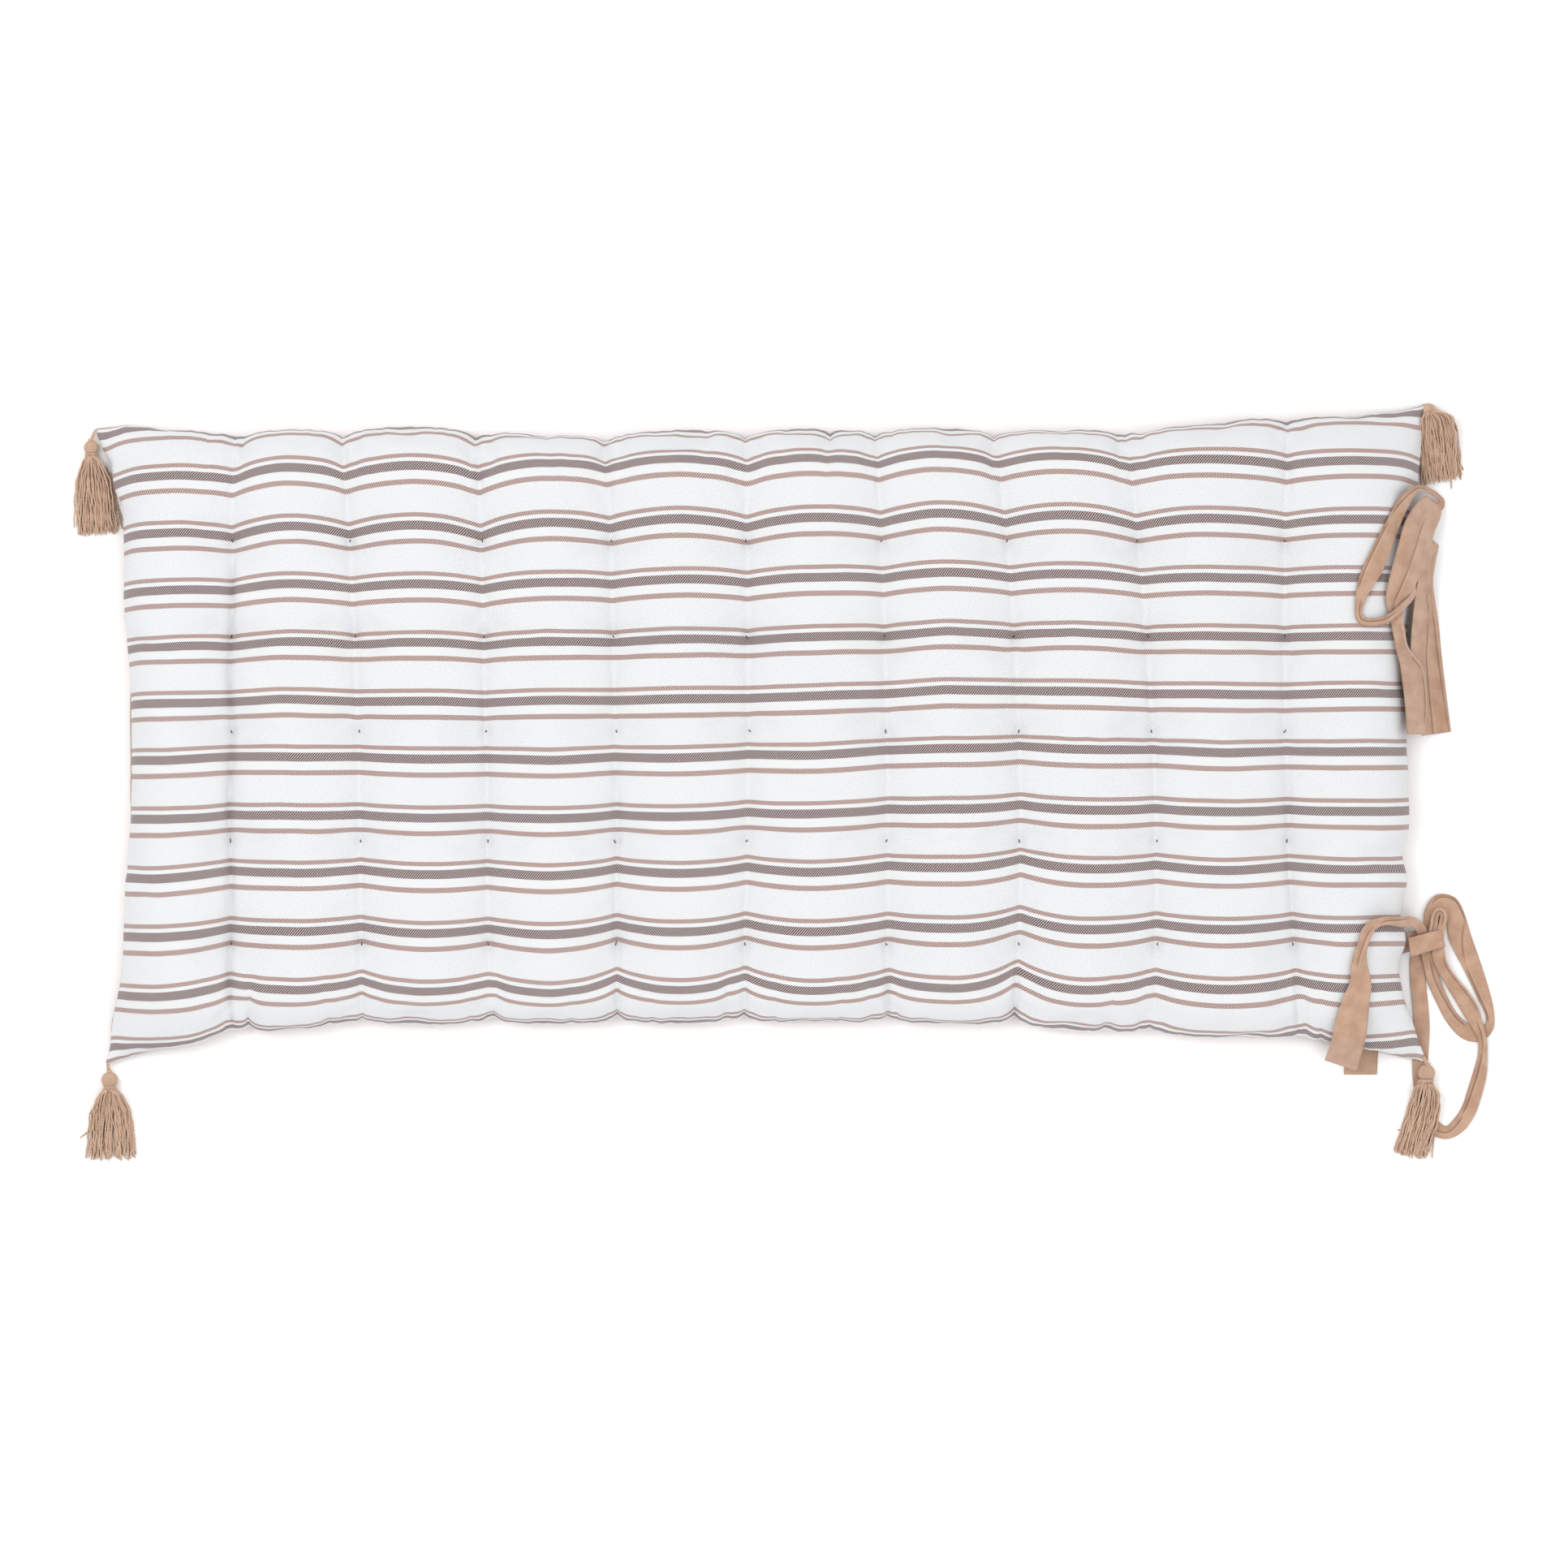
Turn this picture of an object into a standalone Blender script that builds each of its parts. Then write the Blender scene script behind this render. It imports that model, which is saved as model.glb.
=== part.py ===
"""A tufted floor mattress with four corner tassels and four cloth ties, lying on its back.

Metres, +Z up. +X runs along the mattress to the end with the ties, +Y to its back edge.
The origin is on the floor, under the middle of everything.
"""

import math

import bmesh
import bpy
from mathutils import Vector

MM = 0.001

# Seam line round the pad, seen from above, in millimetres: the long edges as (x, y),
# the short ones as (y, x). Both kinds of table end at the same four drawn-out corners.
BACK_SEAM = [
    (-636, 326.3), (-612, 330.8), (-567, 327.8), (-499, 326.3), (-334, 329.3),
    (-207, 323.3), (-79, 327.0), (93, 328.5), (325, 328.5), (378, 333.0),
    (445, 339.0), (520, 341.3), (593.3, 348.8),
]
FRONT_SEAM = [
    (-626.3, -260.3), (-589, -252.0), (-544, -243.8), (-510, -235.5), (-477, -232.5),
    (-387, -226.5), (-154, -225.0), (93, -225.0), (213, -227.3), (265, -231.0),
    (363, -236.3), (445, -239.3), (498, -243.8), (550, -251.0), (591.8, -253.0),
]
LEFT_SEAM = [
    (-260.3, -626.3), (-214, -622.5), (-176, -615.8), (-101, -612.0), (-64, -609.0),
    (-11, -606.0), (49, -606.0), (124, -608.3), (154, -612.8), (229, -613.5),
    (257, -614.3), (272, -621.0), (295, -624.0), (306, -630.0), (326.3, -636.0),
]
RIGHT_SEAM = [
    (-253.0, 591.8), (-215, 581.3), (-193, 574.5), (-169, 570.0), (-146, 576.0),
    (-122, 570.8), (-90, 576.8), (-67, 572.3), (-45, 578.3), (0, 579.8), (45, 578.3),
    (124, 578.3), (199, 583.5), (259, 586.5), (281, 589.9), (304, 591.8), (348.8, 593.3),
]

# Lines of tufts across the pad: x at the back seam, in the middle and at the front seam.
TUFT_LINES = [
    (-507.0, -509.3, -509.3), (-406.5, -392.3, -390.0), (-282.8, -274.5, -272.3),
    (-163.5, -155.3, -154.5), (-36.0, -33.0, -37.5), (84.8, 94.5, 94.5),
    (194.3, 216.0, 213.0), (314.3, 339.0, 340.5), (464.3, 461.3, 475.5),
]
TUFT_ROWS = [-149.0, -54.0, 47.0, 139.0, 231.0]

# Filling and sewing of the pad, in millimetres.
CROWN = 58.0
SEAM_HEIGHT = 20.0
CORNER_HEIGHT = 9.0
CORNER_REACH = 90.0
EDGE_ROUND = 50.0
CORNER_ROUND = 60.0
CORNER_SLACK = 160.0
CHANNEL_DIP = 10.0
CHANNEL_HALF = 60.0
TUFT_DIP = 11.0
TUFT_REACH = 24.0
UNDER_GROOVE = 2.0
UNDER_TUFT = 4.0
GROOVE_HALF = 12.0
SEAM_PUCKER = 4.5
PUCKER_REACH = 55.0

# Where the grid lines of the pad run: across a channel, across an end channel from the
# seam inwards, and from a long seam to the first row of tufts.
CHANNEL_STEPS = [0.0, 0.14, 0.37, 0.63, 0.86]
END_STEPS = [0.0, 0.05, 0.14, 0.3, 0.5, 0.7, 0.87]
EDGE_STEPS = [0.0, 0.13, 0.36, 0.67]
ROW_STEPS = [0.0, 0.25, 0.5, 0.75]

# A tassel's sizes, in millimetres.
STRANDS_WIDE = 8
STRANDS_HIGH = 4
STRAND_SHARE = 0.74
STRAND_THICK = 2.0
LAYER_PITCH = 2.6
CORD_RADIUS = 1.1
NECK_RADIUS = 4.6
BELL_HALF_HIGH = 6.0
HEAD_LATITUDES = (65, 38, 10, -20, -48)
SKIRT_SHARES = (0.42, 0.7, 1.0)

# A tie's cloth: sewn double, so thicker than the cover.
TIE_THICK = 1.1
TIE_STEP = 8.0
DRAPE_CLEAR = 3.0
DRAPE_IN = 20.0
DRAPE_OUT = 30.0


def smooth(table, at):
    """Value at a place in a table of (place, value) rows, on a curve through its rows."""
    if at <= table[0][0]:
        return table[0][1]
    if at >= table[-1][0]:
        return table[-1][1]
    i = max(k for k in range(len(table) - 1) if table[k][0] <= at)
    (a, va), (b, vb) = table[i], table[i + 1]
    rise = (vb - va) / (b - a)

    def slope(k):
        if k == 0 or k == len(table) - 1:
            return rise
        return (table[k + 1][1] - table[k - 1][1]) / (table[k + 1][0] - table[k - 1][0])

    t = (at - a) / (b - a)
    sa, sb = slope(i) * (b - a), slope(i + 1) * (b - a)
    return (
        va * (2 * t**3 - 3 * t**2 + 1)
        + vb * (3 * t**2 - 2 * t**3)
        + sa * (t**3 - 2 * t**2 + t)
        + sb * (t**3 - t**2)
    )


def ease(t):
    """0 below 0, 1 above 1, and a soft step between."""
    t = min(1.0, max(0.0, t))
    return t * t * (3 - 2 * t)


def line_x(line, share):
    """x of a line of tufts, at a share of the way from the front seam to the back one."""
    back, middle, front = line
    return (
        front * (1 - share) * (1 - 2 * share)
        + middle * 4 * share * (1 - share)
        + back * share * (2 * share - 1)
    )


def seam_pull(x, share):
    """How far a long seam is drawn in at x, where the lines of tufts pucker it."""
    near = min(abs(x - line_x(line, share)) for line in TUFT_LINES)
    return SEAM_PUCKER * max(0.0, 1 - near / PUCKER_REACH) ** 2


def front_y(x):
    return smooth(FRONT_SEAM, x) + seam_pull(x, 0.0)


def back_y(x):
    return smooth(BACK_SEAM, x) - seam_pull(x, 1.0)


def left_x(y):
    return smooth(LEFT_SEAM, y)


def right_x(y):
    return smooth(RIGHT_SEAM, y)


CORNERS = [
    (left_x(-260.3), -260.3), (left_x(326.3), 326.3),
    (right_x(-253.0), -253.0), (right_x(348.8), 348.8),
]


def roundness(inside, reach):
    """0 at the seam, 1 where the pad is full, as the cover swells from its edge."""
    t = min(1.0, max(0.0, inside / reach))
    return (1 - (1 - t) ** 2.2) ** 0.62


def fill_at(x, y):
    """How full the pad is there, from 0 at the seam to 1, and the height of its seam."""
    corner = min(math.hypot(x - cx, y - cy) for cx, cy in CORNERS)
    reach = EDGE_ROUND + CORNER_ROUND * ease(1 - corner / CORNER_SLACK)
    across = min(x - left_x(y), right_x(y) - x)
    along = min(y - front_y(x), back_y(x) - y)
    seam = CORNER_HEIGHT + (SEAM_HEIGHT - CORNER_HEIGHT) * ease(corner / CORNER_REACH)
    return roundness(across, reach) * roundness(along, reach), seam


def share_of(x, y):
    return (y - front_y(x)) / (back_y(x) - front_y(x))


def nearest_tuft(x, y):
    """Distance from the nearest line of tufts, and from the nearest tuft."""
    share = share_of(x, y)
    off = min(abs(x - line_x(line, share)) for line in TUFT_LINES)
    row = min(abs(y - row) for row in TUFT_ROWS)
    return off, math.hypot(off, row)


def top_height(x, y):
    """Height of the cover's upper side: a crowned channel between each pair of lines."""
    fill, seam = fill_at(x, y)
    off, tuft = nearest_tuft(x, y)
    arch = CHANNEL_DIP * max(0.0, 1 - off / CHANNEL_HALF) ** 2.2
    dimple = TUFT_DIP * math.exp(-tuft / TUFT_REACH)
    return seam + fill * (CROWN - seam - arch - dimple)


def under_height(x, y):
    """Height of the underside: flat on the floor but for its edge, grooves and dimples."""
    fill, seam = fill_at(x, y)
    off, tuft = nearest_tuft(x, y)
    groove = UNDER_GROOVE * max(0.0, 1 - off / GROOVE_HALF)
    dimple = UNDER_TUFT * max(0.0, 1 - tuft / TUFT_REACH)
    return seam * (1 - fill) + fill * (groove + dimple)


def grid_lines():
    """Lines of the pad's grid as (index of the tuft line to the left, share beyond it)."""
    lines = [(-1, s) for s in END_STEPS]
    for i in range(len(TUFT_LINES) - 1):
        lines += [(i, s) for s in CHANNEL_STEPS]
    last = len(TUFT_LINES) - 1
    lines += [(last, 1 - s) for s in reversed(END_STEPS[1:])]
    return [*lines[: -len(END_STEPS) + 1], (last, 0.0), *lines[-len(END_STEPS) + 1 :], (last, 1.0)]


def grid_rows():
    """Shares of the way from the front seam to the back one, with a row on each tuft."""
    front, back = smooth(FRONT_SEAM, 0), smooth(BACK_SEAM, 0)
    tufts = [(y - front) / (back - front) for y in TUFT_ROWS]
    rows = [tufts[0] * s for s in EDGE_STEPS]
    for a, b in zip(tufts, tufts[1:]):
        rows += [a + (b - a) * s for s in ROW_STEPS]
    rows += [tufts[-1]]
    rows += [1 - (1 - tufts[-1]) * s for s in reversed(EDGE_STEPS)]
    return rows


def pad_point(line, share):
    """(x, y) where a grid line meets a grid row."""
    index, beyond = line
    y = smooth(FRONT_SEAM, 0) * (1 - share) + smooth(BACK_SEAM, 0) * share
    for _ in range(4):
        ends = [left_x(y), *(line_x(t, share) for t in TUFT_LINES), right_x(y)]
        x = ends[index + 1] * (1 - beyond) + ends[index + 2] * beyond
        y = front_y(x) * (1 - share) + back_y(x) * share
    return x, y


def add_object(name, mesh, material):
    obj = bpy.data.objects.new(name, mesh)
    bpy.context.scene.collection.objects.link(obj)
    mesh.materials.append(material)
    mesh.shade_smooth()
    return obj


def add_material(name, colour, roughness):
    material = bpy.data.materials.new(name)
    material.use_nodes = True
    shader = material.node_tree.nodes["Principled BSDF"]
    shader.inputs["Base Color"].default_value = (*colour, 1.0)
    shader.inputs["Roughness"].default_value = roughness
    return material


def add_mattress(material):
    """The pad: an upper and a lower grid of the cover that share one ring at the seam.

    The four cells at its tips are cut from the tip inwards, so that each tip keeps its
    filling.
    """
    lines, rows = grid_lines(), grid_rows()
    wide, deep = len(lines), len(rows)
    build = bmesh.new()
    upper, lower = {}, {}
    for i, line in enumerate(lines):
        for j, share in enumerate(rows):
            x, y = pad_point(line, share)
            top = build.verts.new(Vector((x, y, top_height(x, y))) * MM)
            upper[i, j] = top
            on_seam = i in (0, wide - 1) or j in (0, deep - 1)
            if on_seam:
                lower[i, j] = top
            else:
                lower[i, j] = build.verts.new(Vector((x, y, under_height(x, y))) * MM)
    for i in range(wide - 1):
        for j in range(deep - 1):
            corners = [(i, j), (i + 1, j), (i + 1, j + 1), (i, j + 1)]
            tips = [k for k, c in enumerate(corners) if c[0] % (wide - 1) == 0 == c[1] % (deep - 1)]
            if tips:
                first = corners[tips[0] :] + corners[: tips[0]]
                cells = [first[:3], [first[0], *first[2:]]]
            else:
                cells = [corners]
            for cell in cells:
                build.faces.new([upper[c] for c in cell])
                build.faces.new([lower[c] for c in reversed(cell)])
    mesh = bpy.data.meshes.new("mattress")
    bmesh.ops.triangulate(build, faces=build.faces)
    build.to_mesh(mesh)
    build.free()
    return add_object("mattress", mesh, material)


def disc_point(a, b):
    """A point of the square from -1 to 1 moved into the round, so its rim is a circle."""
    return a * math.sqrt(1 - b * b / 2), b * math.sqrt(1 - a * a / 2)


def cell_corners(i, j, share):
    """Corners of one cell of the strand grid on the disc, shrunk about its middle."""
    wide, high = STRANDS_WIDE, STRANDS_HIGH
    corners = []
    for di, dj in ((0, 0), (1, 0), (1, 1), (0, 1)):
        a = (i + 0.5 + (di - 0.5) * share) / wide * 2 - 1
        b = (j + 0.5 + (dj - 0.5) * share) / high * 2 - 1
        corners.append(disc_point(a, b))
    return corners


def rim_order():
    """Grid corners round the rim of the strand grid, in order."""
    wide, high = STRANDS_WIDE, STRANDS_HIGH
    rim = [(i, 0) for i in range(wide)]
    rim += [(wide, j) for j in range(high)]
    rim += [(i, high) for i in range(wide, 0, -1)]
    rim += [(0, j) for j in range(high, 0, -1)]
    return rim


def wobble(i, j, scale):
    """A small steady unevenness for each strand."""
    return scale * math.sin(12.9898 * (i + 1) + 78.233 * (j + 1))


def add_tassel(name, heading, rings, skirt, material):
    """A tassel as one solid: cord, wound head, neck and bell, with strands from its bell.

    heading is the way the skirt points, in degrees. rings and skirt are rows of
    (x, y, height, tilt, half width, half height), in millimetres and degrees, and the
    last ring is the bell's end, where the strands are rooted.
    """
    way = Vector((math.cos(math.radians(heading)), math.sin(math.radians(heading)), 0))
    side = Vector((way.y, -way.x, 0))
    up = Vector((0, 0, 1))

    def place(row, a, b):
        x, y, height, tilt, half_wide, half_high = row
        lean = math.radians(tilt)
        lift = up * math.cos(lean) - way * math.sin(lean)
        return (Vector((x, y, height)) + side * a * half_wide + lift * b * half_high) * MM

    build = bmesh.new()
    rim = rim_order()
    wide, high = STRANDS_WIDE, STRANDS_HIGH
    loops = []
    for row in rings:
        loop = []
        for i, j in rim:
            a, b = disc_point(i / wide * 2 - 1, j / high * 2 - 1)
            loop.append(build.verts.new(place(row, a, b)))
        loops.append(loop)
    for first, second in zip(loops, loops[1:]):
        for k in range(len(rim)):
            n = (k + 1) % len(rim)
            build.faces.new([first[k], first[n], second[n], second[k]])
    build.faces.new(list(reversed(loops[0])))

    root = {corner: vert for corner, vert in zip(rim, loops[-1])}
    for i in range(wide + 1):
        for j in range(high + 1):
            if (i, j) not in root:
                a, b = disc_point(i / wide * 2 - 1, j / high * 2 - 1)
                root[i, j] = build.verts.new(place(rings[-1], a, b))
    for i in range(wide):
        for j in range(high):
            outer = [root[i, j], root[i + 1, j], root[i + 1, j + 1], root[i, j + 1]]
            cell = cell_corners(i, j, STRAND_SHARE)
            loop = [build.verts.new(place(rings[-1], a, b)) for a, b in cell]
            for k in range(4):
                n = (k + 1) % 4
                build.faces.new([outer[k], outer[n], loop[n], loop[k]])
            for row in skirt:
                x, y, height, tilt, half_wide, floor = row
                across = ((i + 0.5) / wide * 2 - 1) * half_wide * (1 - 0.05 * j)
                across += wobble(i, j, 0.25)
                reach = wobble(i, j, 2.5) if row is skirt[-1] else 0.0
                lean = math.radians(tilt)
                lift = up * math.cos(lean) - way * math.sin(lean)
                base = Vector((x, y, height)) + side * across + way * reach
                base += lift * (floor + j * LAYER_PITCH)
                half = STRAND_THICK / 2
                corners = [
                    base - side * half, base + side * half,
                    base + side * half + lift * STRAND_THICK,
                    base - side * half + lift * STRAND_THICK,
                ]
                nxt = [build.verts.new(c * MM) for c in corners]
                for k in range(4):
                    n = (k + 1) % 4
                    build.faces.new([loop[k], loop[n], nxt[n], nxt[k]])
                loop = nxt
            build.faces.new(loop)
    bmesh.ops.recalc_face_normals(build, faces=build.faces)
    bmesh.ops.triangulate(build, faces=build.faces)
    mesh = bpy.data.meshes.new(name)
    build.to_mesh(mesh)
    build.free()
    obj = add_object(name, mesh, material)
    mesh.set_sharp_from_angle(angle=math.radians(50))
    return obj


def lying_tassel(name, start, head, end, radius, widths, base, material):
    """A tassel lying on its side, from its cord's start by the pad's tip to its strand ends.

    widths are the skirt's half widths at the bell, a third, two thirds and the ends.
    base is how far its head and bell are held off the floor by what lies under them.
    """
    hx, hy = head
    ex, ey = end
    heading = math.degrees(math.atan2(ey - hy, ex - hx))
    way = Vector((ex - hx, ey - hy, 0)).normalized()
    long = math.hypot(ex - hx, ey - hy)
    middle = radius + base
    rings = [(*start, CORNER_HEIGHT, 0, CORD_RADIUS, CORD_RADIUS)]

    def ring(along, half_wide, half_high, height):
        p = Vector((hx, hy, 0)) + way * along
        return (p.x, p.y, height, 0, half_wide, half_high)

    rings.append(ring(-radius - 0.6, CORD_RADIUS, CORD_RADIUS, middle))
    for angle in HEAD_LATITUDES:
        turn = math.radians(angle)
        r = radius * math.cos(turn)
        rings.append(ring(-radius * math.sin(turn), r, r, middle))
    bell = [
        (radius + 0.5, NECK_RADIUS, NECK_RADIUS),
        (radius + 5.0, widths[0] * 0.75, BELL_HALF_HIGH * 0.93),
        (radius + 11.0, widths[0], BELL_HALF_HIGH),
    ]
    for along, half_wide, half_high in bell:
        rings.append(ring(along, half_wide, half_high, max(middle, half_high + base + 0.6)))
    skirt = []
    for share, half_wide, floor in zip(SKIRT_SHARES, widths[1:], (base, base, 0.0)):
        p = Vector((hx, hy, 0)) + way * long * share
        skirt.append((p.x, p.y, 0.0, 0, half_wide, floor))
    return add_tassel(name, heading, rings, skirt, material)


def drape_height(x, y):
    """Height that cloth laid over the pad's right or front edge clears there."""
    right, front = right_x(y), front_y(x)
    inside = min(right - x, y - front)
    slope = ease((inside + DRAPE_OUT) / (DRAPE_IN + DRAPE_OUT)) * (CROWN - 6.0)
    if inside <= 0:
        return slope
    return max(slope, top_height(x, y) + DRAPE_CLEAR)


def along(rows):
    """Sections of a tie: its columns run through by curves of the distance along it."""
    marks = [0.0]
    for before, after in zip(rows, rows[1:]):
        marks.append(marks[-1] + math.dist(
            (before[0], before[1], before[3]), (after[0], after[1], after[3])))
    columns = [list(zip(marks, column)) for column in zip(*rows)]
    places = []
    for before, after in zip(marks, marks[1:]):
        count = max(2, math.ceil((after - before) / TIE_STEP))
        places += [before + (after - before) * k / count for k in range(count)]
    places.append(marks[-1])
    return [[smooth(column, place) for column in columns] for place in places]


def add_tie(name, rows, material):
    """A cloth tie laid along its table's rows."""
    build = bmesh.new()
    previous = None
    for x, y, over, lift, bearing, width in along(rows):
        turn = math.radians(bearing)
        side = Vector((math.cos(turn), math.sin(turn), 0)) * width / 2
        strip = []
        for share in (-1.0, 0.0, 1.0):
            p = Vector((x, y, 0)) + side * share
            height = lift + over * drape_height(p.x, p.y)
            strip.append(build.verts.new(Vector((p.x, p.y, height)) * MM))
        if previous:
            for k in range(2):
                build.faces.new([previous[k], previous[k + 1], strip[k + 1], strip[k]])
        previous = strip
    mesh = bpy.data.meshes.new(name)
    build.to_mesh(mesh)
    build.free()
    obj = add_object(name, mesh, material)
    thicken = obj.modifiers.new("cloth", "SOLIDIFY")
    thicken.thickness = TIE_THICK * MM
    thicken.offset = 0
    thicken.use_even_offset = True
    thicken.use_rim = True
    return obj


# Ties from the seam to the free end, a row for each turn or fold, in millimetres and
# degrees. over is 1 where the tie lies over the pad's edge, and 0 where it lies beside
# the pad. lift is how far it is above that. bearing is the way its width points.
TIE_BACK_LOOPED = [
    # x, y, over, lift, bearing, width
    (587.5, 251.0, 0, 20.0, 90, 8),
    (594.0, 251.0, 0, 17.0, 92, 8),
    (602.0, 252.2, 0, 9.5, 102, 7),
    (608.6, 256.2, 0.6, 2.5, 150, 6),
    (608.8, 261.5, 1, 1.2, 205, 5),
    (597.5, 268.6, 1, 1.2, 246, 5),
    (582.0, 271.8, 1, 1.2, 290, 7),
    (557.3, 232.5, 1, 1.2, 332, 14),
    (541.0, 198.8, 1, 1.2, 335, 19),
    (526.6, 157.8, 1, 1.4, 358, 7),
    (528.6, 149.6, 1, 2.0, 405, 7),
    (536.8, 147.0, 1, 3.4, 447, 7),
    (553.1, 150.0, 1, 6.2, 474, 6.5),
    (573.2, 166.2, 1, 7.4, 494, 5.5),
    (578.9, 172.6, 1, 5.0, 500, 5),
    (583.2, 181.0, 1, 1.0, 508, 6),
    (590.2, 204.5, 1, 1.0, 510, 10),
    (601.4, 223.2, 1, 2.7, 507, 15),
    (596.5, 208.5, 1, 4.4, 524, 14),
    (592.4, 187.5, 1, 4.4, 530, 16),
    (592.5, 143.3, 1, 1.4, 544, 28),
    (593.6, 115.5, 1, 1.2, 543, 31),
    (603.8, 45.0, 1, 1.2, 548, 28),
]
TIE_BACK_FOLDED = [
    # x, y, over, lift, bearing, width
    (586.6, 237.0, 0, 20.0, 90, 12),
    (592.5, 239.5, 1, 3.6, 112, 15),
    (598.5, 251.6, 1, 4.4, 154, 24),
    (600.2, 257.6, 1, 6.2, 155, 27),
    (586.1, 235.5, 1, 8.2, 159, 31),
    (571.0, 193.5, 1, 7.4, 161, 28),
    (565.1, 177.0, 1, 4.2, 163, 21),
    (561.0, 164.3, 1, 3.0, 168, 17),
    (563.0, 153.0, 1, 2.8, 182, 12),
    (568.5, 125.3, 1, 4.2, 200, 13.5),
    (580.5, 90.8, 1, 5.4, 194, 24),
    (583.5, 64.5, 1, 5.4, 185, 23),
    (582.4, 44.3, 1, 5.2, 180, 19),
]
TIE_FRONT_BOW = [
    # x, y, over, lift, bearing, width
    (576.2, -144.6, 0, 18.0, 90, 11),
    (588.0, -142.0, 0, 6.0, 107, 11),
    (597.8, -133.5, 0, 4.2, 146, 12),
    (600.8, -120.0, 0, 4.2, 170, 17),
    (606.8, -108.5, 0, 3.5, 120, 15),
    (618.0, -110.5, 0, 2.5, 70, 14),
    (626.5, -122.5, 0, 1.6, 30, 14),
    (637.5, -165.8, 0, 1.6, 18, 14),
    (653.3, -213.8, 0, 1.6, 12, 13),
    (652.5, -227.3, 0, 1.6, -12, 12),
    (644.5, -234.8, 0, 1.6, -70, 13),
    (631.5, -231.8, 0, 1.6, -110, 14),
    (621.0, -219.8, 0, 1.6, -145, 14),
    (602.3, -178.5, 0, 2.5, -155, 14),
    (597.0, -161.3, 0, 6.6, -163, 12),
    (592.5, -146.5, 0, 7.0, -155, 11),
    (588.0, -135.0, 0, 13.5, -140, 9),
    (580.5, -127.5, 0.8, 9.0, -115, 9),
    (552.0, -124.5, 1, 3.0, -88, 9),
    (531.8, -138.8, 1, 3.0, -20, 12),
    (526.5, -178.5, 1, 2.5, -5, 18),
    (516.8, -225.0, 1, 2.5, -12, 26),
    (513.8, -260.5, 1, 5.0, -16, 30),
]
TIE_FRONT_WRAP = [
    # x, y, over, lift, bearing, width
    (577.8, -152.3, 0, 21.0, 97, 17),
    (585.0, -150.5, 0, 17.0, 103, 17),
    (606.0, -144.8, 0, 13.5, 103, 16),
    (610.5, -144.0, 0, 7.5, 103, 16),
    (606.5, -144.8, 0, 2.4, 103, 15),
    (597.0, -148.0, 0, 1.4, 112, 14),
    (587.3, -165.0, 0, 1.2, 176, 14),
    (591.0, -225.0, 0, 1.2, 182, 14),
    (589.5, -270.0, 0, 1.2, 180, 14),
    (595.5, -307.5, 0, 1.2, 200, 14),
    (603.0, -320.3, 0, 1.2, 230, 14),
    (614.3, -325.5, 0, 1.2, 270, 14),
    (625.5, -318.0, 0, 1.2, 315, 14),
    (634.5, -303.0, 0, 1.2, 332, 14),
    (648.0, -260.3, 0, 1.6, 350, 14),
    (648.8, -243.8, 0, 4.2, 365, 14),
    (634.5, -202.5, 0, 4.6, 387, 14),
    (621.0, -180.8, 0, 6.0, 392, 14),
    (607.5, -161.3, 0, 9.6, 400, 12),
    (588.0, -154.5, 0, 9.0, 455, 9),
    (564.0, -181.5, 0, 2.4, 502, 18),
    (543.0, -222.8, 0, 1.0, 518, 27),
    (536.3, -245.3, 0, 1.0, 530, 29),
    (534.0, -270.8, 0, 1.0, 540, 30),
]


def main():
    for obj in list(bpy.data.objects):
        bpy.data.objects.remove(obj)
    cover = add_material("striped_cotton", (0.86, 0.86, 0.87), 0.9)
    yarn = add_material("tassel_yarn", (0.50, 0.33, 0.24), 0.85)
    tape = add_material("tie_cotton", (0.53, 0.35, 0.23), 0.9)

    add_mattress(cover)
    lying_tassel("tassel_back_left", (-637.3, 326.6), (-641.6, 309.8), (-638.3, 231.0),
                 6.8, (9.5, 15.0, 18.0, 20.0), 0.0, yarn)
    lying_tassel("tassel_front_left", (-626.2, -261.1), (-624.5, -275.7), (-623.3, -348.5),
                 7.7, (12.0, 17.5, 20.5, 22.5), 0.0, yarn)
    lying_tassel("tassel_front_right", (592.1, -253.7), (595.5, -267.8), (583.5, -346.0),
                 8.0, (11.5, 15.5, 17.5, 18.5), 2.6, yarn)
    fallen = [
        (598.9, 342.6, 0.0, 90, 1.6, 1.6), (598.9, 342.6, 1.6, 90, 4.4, 4.4),
        (598.9, 342.6, 4.6, 90, 5.7, 5.7), (598.9, 342.6, 7.8, 90, 5.7, 5.7),
        (598.9, 342.6, 11.6, 90, 4.4, 4.4), (599.0, 342.3, 13.4, 85, 4.2, 4.0),
        (599.2, 340.5, 17.0, 55, 6.5, 4.6), (600.0, 335.5, 18.6, 15, 9.0, 5.4),
    ]
    fallen_skirt = [
        (604.6, 322.0, 0.0, 0, 11.5, 6.0), (609.6, 301.0, 0.0, 0, 16.0, 1.5),
        (612.5, 280.5, 0.0, 0, 18.0, 0.0),
    ]
    add_tassel("tassel_back_right", -80.0, fallen, fallen_skirt, yarn)

    add_tie("tie_back_looped", TIE_BACK_LOOPED, tape)
    add_tie("tie_back_folded", TIE_BACK_FOLDED, tape)
    add_tie("tie_front_bow", TIE_FRONT_BOW, tape)
    add_tie("tie_front_wrap", TIE_FRONT_WRAP, tape)


main()
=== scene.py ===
"""Looks of a tufted floor mattress: striped twill pad, camel cotton ties, twisted tassels."""
import math

import bpy
import numpy as np
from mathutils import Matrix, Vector
from mathutils.bvhtree import BVHTree


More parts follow.
